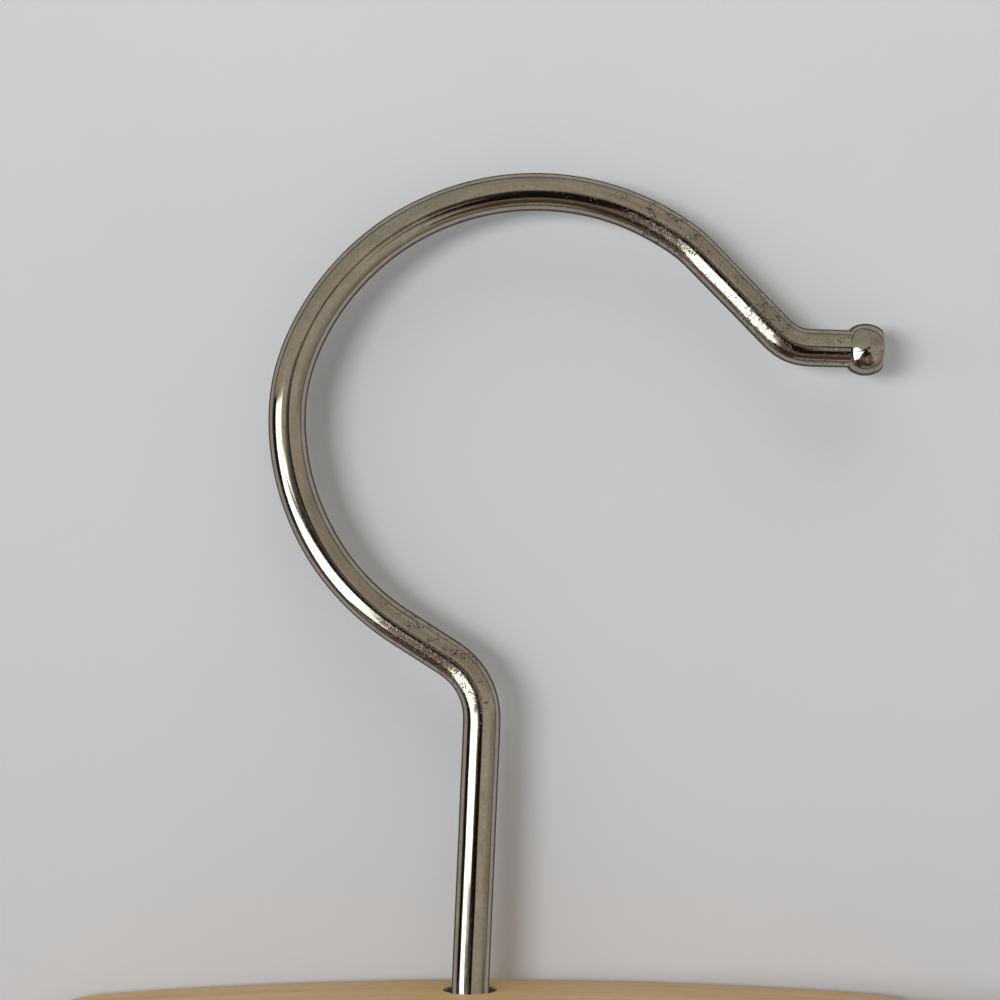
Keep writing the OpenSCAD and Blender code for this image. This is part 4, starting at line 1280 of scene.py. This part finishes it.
class HANGER_OT_stage(bpy.types.Operator):
    """Sets up the pale surface, the room that the metal reflects, the light and the camera"""

    bl_idname = "hanger.stage"
    bl_label = "Stage"

    def execute(self, context):
        scene = context.scene
        scene.view_settings.view_transform = "Standard"
        self.room(scene)
        self.surfaces()
        self.lamp(scene, "window_light", azimuth=-28, elevation=-1, strength=2.3, spread=24,
                  colour=(0.96, 0.98, 1.0))
        self.lamp(scene, "sky_light", azimuth=-15, elevation=74, strength=1.68, spread=60,
                  colour=(0.98, 0.99, 1.0))
        camera_data = bpy.data.cameras.new("camera")
        camera = bpy.data.objects.new("camera", camera_data)
        scene.collection.objects.link(camera)
        camera.location = CAMERA_PLACE
        camera.rotation_euler = (math.pi / 2, 0, 0)
        camera_data.lens, camera_data.sensor_width = CAMERA_LENS, SENSOR_WIDTH
        camera_data.clip_start, camera_data.clip_end = 0.01, 20
        scene.camera = camera
        return {"FINISHED"}

    def lamp(self, scene, name, azimuth, elevation, strength, spread, colour):
        """Distant soft lamp that the metal doesn't mirror; azimuth runs from the front to the right."""
        data = bpy.data.lights.new(name, "SUN")
        data.energy, data.angle, data.color = strength, math.radians(spread), colour
        made = bpy.data.objects.new(name, data)
        scene.collection.objects.link(made)
        made.rotation_euler = (math.radians(90 - elevation), 0, math.radians(azimuth))
        made.visible_glossy = False

    def room(self, scene):
        """World: a warm grey room with a large window at the left and someone dark in front."""
        world = bpy.data.worlds.new("room")
        scene.world = world
        world.use_nodes = True
        tree = world.node_tree
        tree.nodes.clear()
        x, y, z = split(tree, put(tree, "ShaderNodeTexCoord").outputs["Generated"])
        front = times(tree, y, -1.0)
        to_degrees = 180 / math.pi
        azimuth = times(tree, maths(tree, "ARCTAN2", x, front), to_degrees)
        elevation = times(tree, maths(tree, "ARCSINE", z), to_degrees)
        seen = blend_colours(tree, remap(tree, azimuth, 40, 80), (0.43, 0.395, 0.335), (0.28, 0.255, 0.205))
        seen = blend_colours(tree, remap(tree, elevation, -4, 6), seen, (0.395, 0.365, 0.31))
        seen = blend_colours(tree, remap(tree, elevation, 50, 80), seen, (0.31, 0.305, 0.27))
        dark = (0.008, 0.007, 0.006)
        # Spans are left, right, low and high in degrees, seen from the hanger; each area covers those before it
        areas = [
            ((14, 96, 14, 50), 7.0, (0.305, 0.28, 0.245)),
            ((-100, -14, 20, 80), 8.0, (0.345, 0.345, 0.30)),
            ((-70, 20, -62, -18), 2.0, (0.19, 0.145, 0.13)),
            ((-100, 50, -76, -52), 2.0, (0.085, 0.055, 0.042)),
            ((-100, -44, -46, -24), 2.0, (0.075, 0.06, 0.05)),
            ((-75, -33, -70, -44), 3.0, (0.035, 0.026, 0.02)),
            ((-98, -60, -24, 8), 1.5, dark),
            ((-62, -16, -24, -2.5), 1.5, dark),
            ((-22, 6, -13, -3.2), 1.5, dark),
            ((3, 15, -1, 8.5), 1.5, dark),
            ((-12.5, 1.5, -42, 0.5), 1.5, dark),
            ((-5, 6, -42, -4), 1.5, dark),
            ((-2, 15, -42, -20), 1.5, dark),
            ((-4, 2, -2, 3.5), 1.5, dark),
        ]

        def box(span, softness):
            return soft_box(tree, azimuth, elevation, span, softness)

        for span, softness, colour in areas:
            seen = blend_colours(tree, box(span, softness), seen, colour)
        slant = maths(tree, "SUBTRACT", elevation, times(tree, azimuth, 0.97))
        glow = times(tree, box((-72, -11, -42, -12), 1.2), remap(tree, slant, -2.4, -0.9))
        bright = maths(tree, "MAXIMUM", box((-70, -21, -19, 5.5), 1.4), glow)
        for span in ((-43, -8, -12, -7), (-26, -8, -8, -3.2), (-34, -8, -2, 9)):
            bright = times(tree, bright, maths(tree, "SUBTRACT", 1.0, box(span, 1.2)))
        seen = blend_colours(tree, bright, seen, (3.0, 3.0, 2.9))
        # Behind the hanger the metal's edges see the pale surface, darker at the left and close by
        edge = blend_colours(tree, remap(tree, x, -0.3, 0.3), (0.12, 0.11, 0.095), (0.46, 0.44, 0.40))
        edge = blend_colours(tree, remap(tree, y, 0.22, 0.1), (0.40, 0.39, 0.37), edge)
        edge = blend_colours(tree, remap(tree, y, 0.6, 0.75), edge, (0.10, 0.09, 0.08))
        seam = times(tree, remap(tree, y, -0.02, 0.03), remap(tree, y, 0.22, 0.15))
        seen = blend_colours(tree, remap(tree, y, 0.0, 0.12), seen, edge)
        seen = blend_colours(tree, times(tree, seam, 0.75), seen, (0.07, 0.062, 0.052))
        rays = put(tree, "ShaderNodeLightPath").outputs["Is Camera Ray"]
        surround = blend_colours(tree, rays, seen, CAMERA_SEES)
        background = put(tree, "ShaderNodeBackground", [("Color", surround), ("Strength", 1.0)])
        output = tree.nodes.new("ShaderNodeOutputWorld")
        tree.links.new(background.outputs[0], output.inputs[0])

    def surfaces(self):
        """The surface behind the hanger, which shows only from its front, and the floor."""
        wall = self.board()
        place_shape(wall, Matrix.Translation((0, 0, SURFACE_HALF + FLOOR_Z - CROWN_Z)) @ Matrix.Rotation(
            math.pi / 2, 4, "X"))
        place_shape(wall, Matrix.Translation((0, BACK_FACE_Y + WALL_GAP, CROWN_Z)) @ Matrix.Rotation(
            math.radians(WALL_TILT), 4, "X"))
        wall = self.stage_piece("backdrop", wall, self.surface_material("Pale wall", True))
        wall.visible_diffuse = wall.visible_shadow = False
        floor = place_shape(self.board(), Matrix.Translation((0, 0, FLOOR_Z)))
        self.stage_piece("floor", floor, self.surface_material("Pale floor", False))

    def board(self):
        """Large flat square."""
        shape = bmesh.new()
        bmesh.ops.create_grid(shape, x_segments=1, y_segments=1, size=SURFACE_HALF)
        return shape

    def stage_piece(self, name, shape, material):
        """Object that belongs to the stage and that the metal doesn't mirror."""
        made = add_object(name, shape)
        made.data.materials.append(material)
        made.visible_glossy = False
        return made

    def surface_material(self, name, fades):
        """Matt pale board, not seen from behind. One that fades isn't seen below the wood's crown either."""
        material, tree, shader = start_material(name)
        place = object_place(tree)
        cloud = speckle(tree, place, 30.0, 3.0, 0.5)
        tint = Vector(colours().surface)
        base = blend_colours(tree, remap(tree, cloud, 0.3, 0.7), tint, tint * 0.98)
        x, _, z = split(tree, place)
        # Painted shade: the board grows darker and warmer towards +X, the fall-off of the window light from the left
        base = blend_colours(tree, remap(tree, x, 0.01, 0.09, 0, 0.06), base, (0.30, 0.27, 0.22))
        # Painted light: the board grows lighter and bluer from z = 0 down to 9 cm below, lifting the shade low on the
        # wall; the floor, lower still, takes all of it
        base = blend_colours(tree, remap(tree, z, 0, -0.09, 0, 0.3), base, (0.62, 0.65, 0.72))
        feed(tree, shader, [("Base Color", base), ("Roughness", 0.75), ("Specular IOR Level", 0.2)])
        side = put(tree, "ShaderNodeNewGeometry").outputs["Backfacing"]
        if fades:
            side = maths(tree, "MAXIMUM", side, remap(tree, z, CROWN_Z - 0.003, CROWN_Z - 0.02))
        rays = put(tree, "ShaderNodeLightPath").outputs["Is Camera Ray"]
        clear = tree.nodes.new("ShaderNodeBsdfTransparent")
        mix = put(tree, "ShaderNodeMixShader", [
            (0, times(tree, side, rays)), (1, shader.outputs[0]), (2, clear.outputs[0])])
        output = next(n for n in tree.nodes if n.type == "OUTPUT_MATERIAL")
        feed(tree, output, [(0, mix.outputs[0])])
        return material


class HANGER_PT_panel(bpy.types.Panel):
    """Lists the hanger's pieces, sizes and colours"""

    bl_idname = "HANGER_PT_panel"
    bl_label = "Trouser hanger"
    bl_space_type = "VIEW_3D"
    bl_region_type = "UI"
    bl_category = "Hanger"

    def draw(self, context):
        column = self.layout.column()
        for operator in OPERATORS:
            column.operator(operator.bl_idname)
        for group in (context.scene.hanger_sizes, context.scene.hanger_colours):
            for name in group.__annotations__:
                column.prop(group, name)


OPERATORS = (
    HANGER_OT_stage, HANGER_OT_hook, HANGER_OT_hook_fastening, HANGER_OT_back_jaw, HANGER_OT_front_jaw,
    HANGER_OT_felts, HANGER_OT_hinges, HANGER_OT_screws, HANGER_OT_clasp,
)
CLASSES = (HangerSizes, HangerColours, *OPERATORS, HANGER_PT_panel)


def register():
    for part in CLASSES:
        bpy.utils.register_class(part)
    bpy.types.Scene.hanger_sizes = PointerProperty(type=HangerSizes)
    bpy.types.Scene.hanger_colours = PointerProperty(type=HangerColours)


def unregister():
    del bpy.types.Scene.hanger_colours
    del bpy.types.Scene.hanger_sizes
    for part in reversed(CLASSES):
        bpy.utils.unregister_class(part)


def main():
    """Builds the stage and every piece."""
    register()
    bpy.ops.hanger.stage()
    bpy.ops.hanger.hook()
    bpy.ops.hanger.hook_fastening()
    bpy.ops.hanger.back_jaw()
    bpy.ops.hanger.front_jaw()
    bpy.ops.hanger.felts()
    bpy.ops.hanger.hinges()
    bpy.ops.hanger.screws()
    bpy.ops.hanger.clasp()


if __name__ == "__main__":
    main()
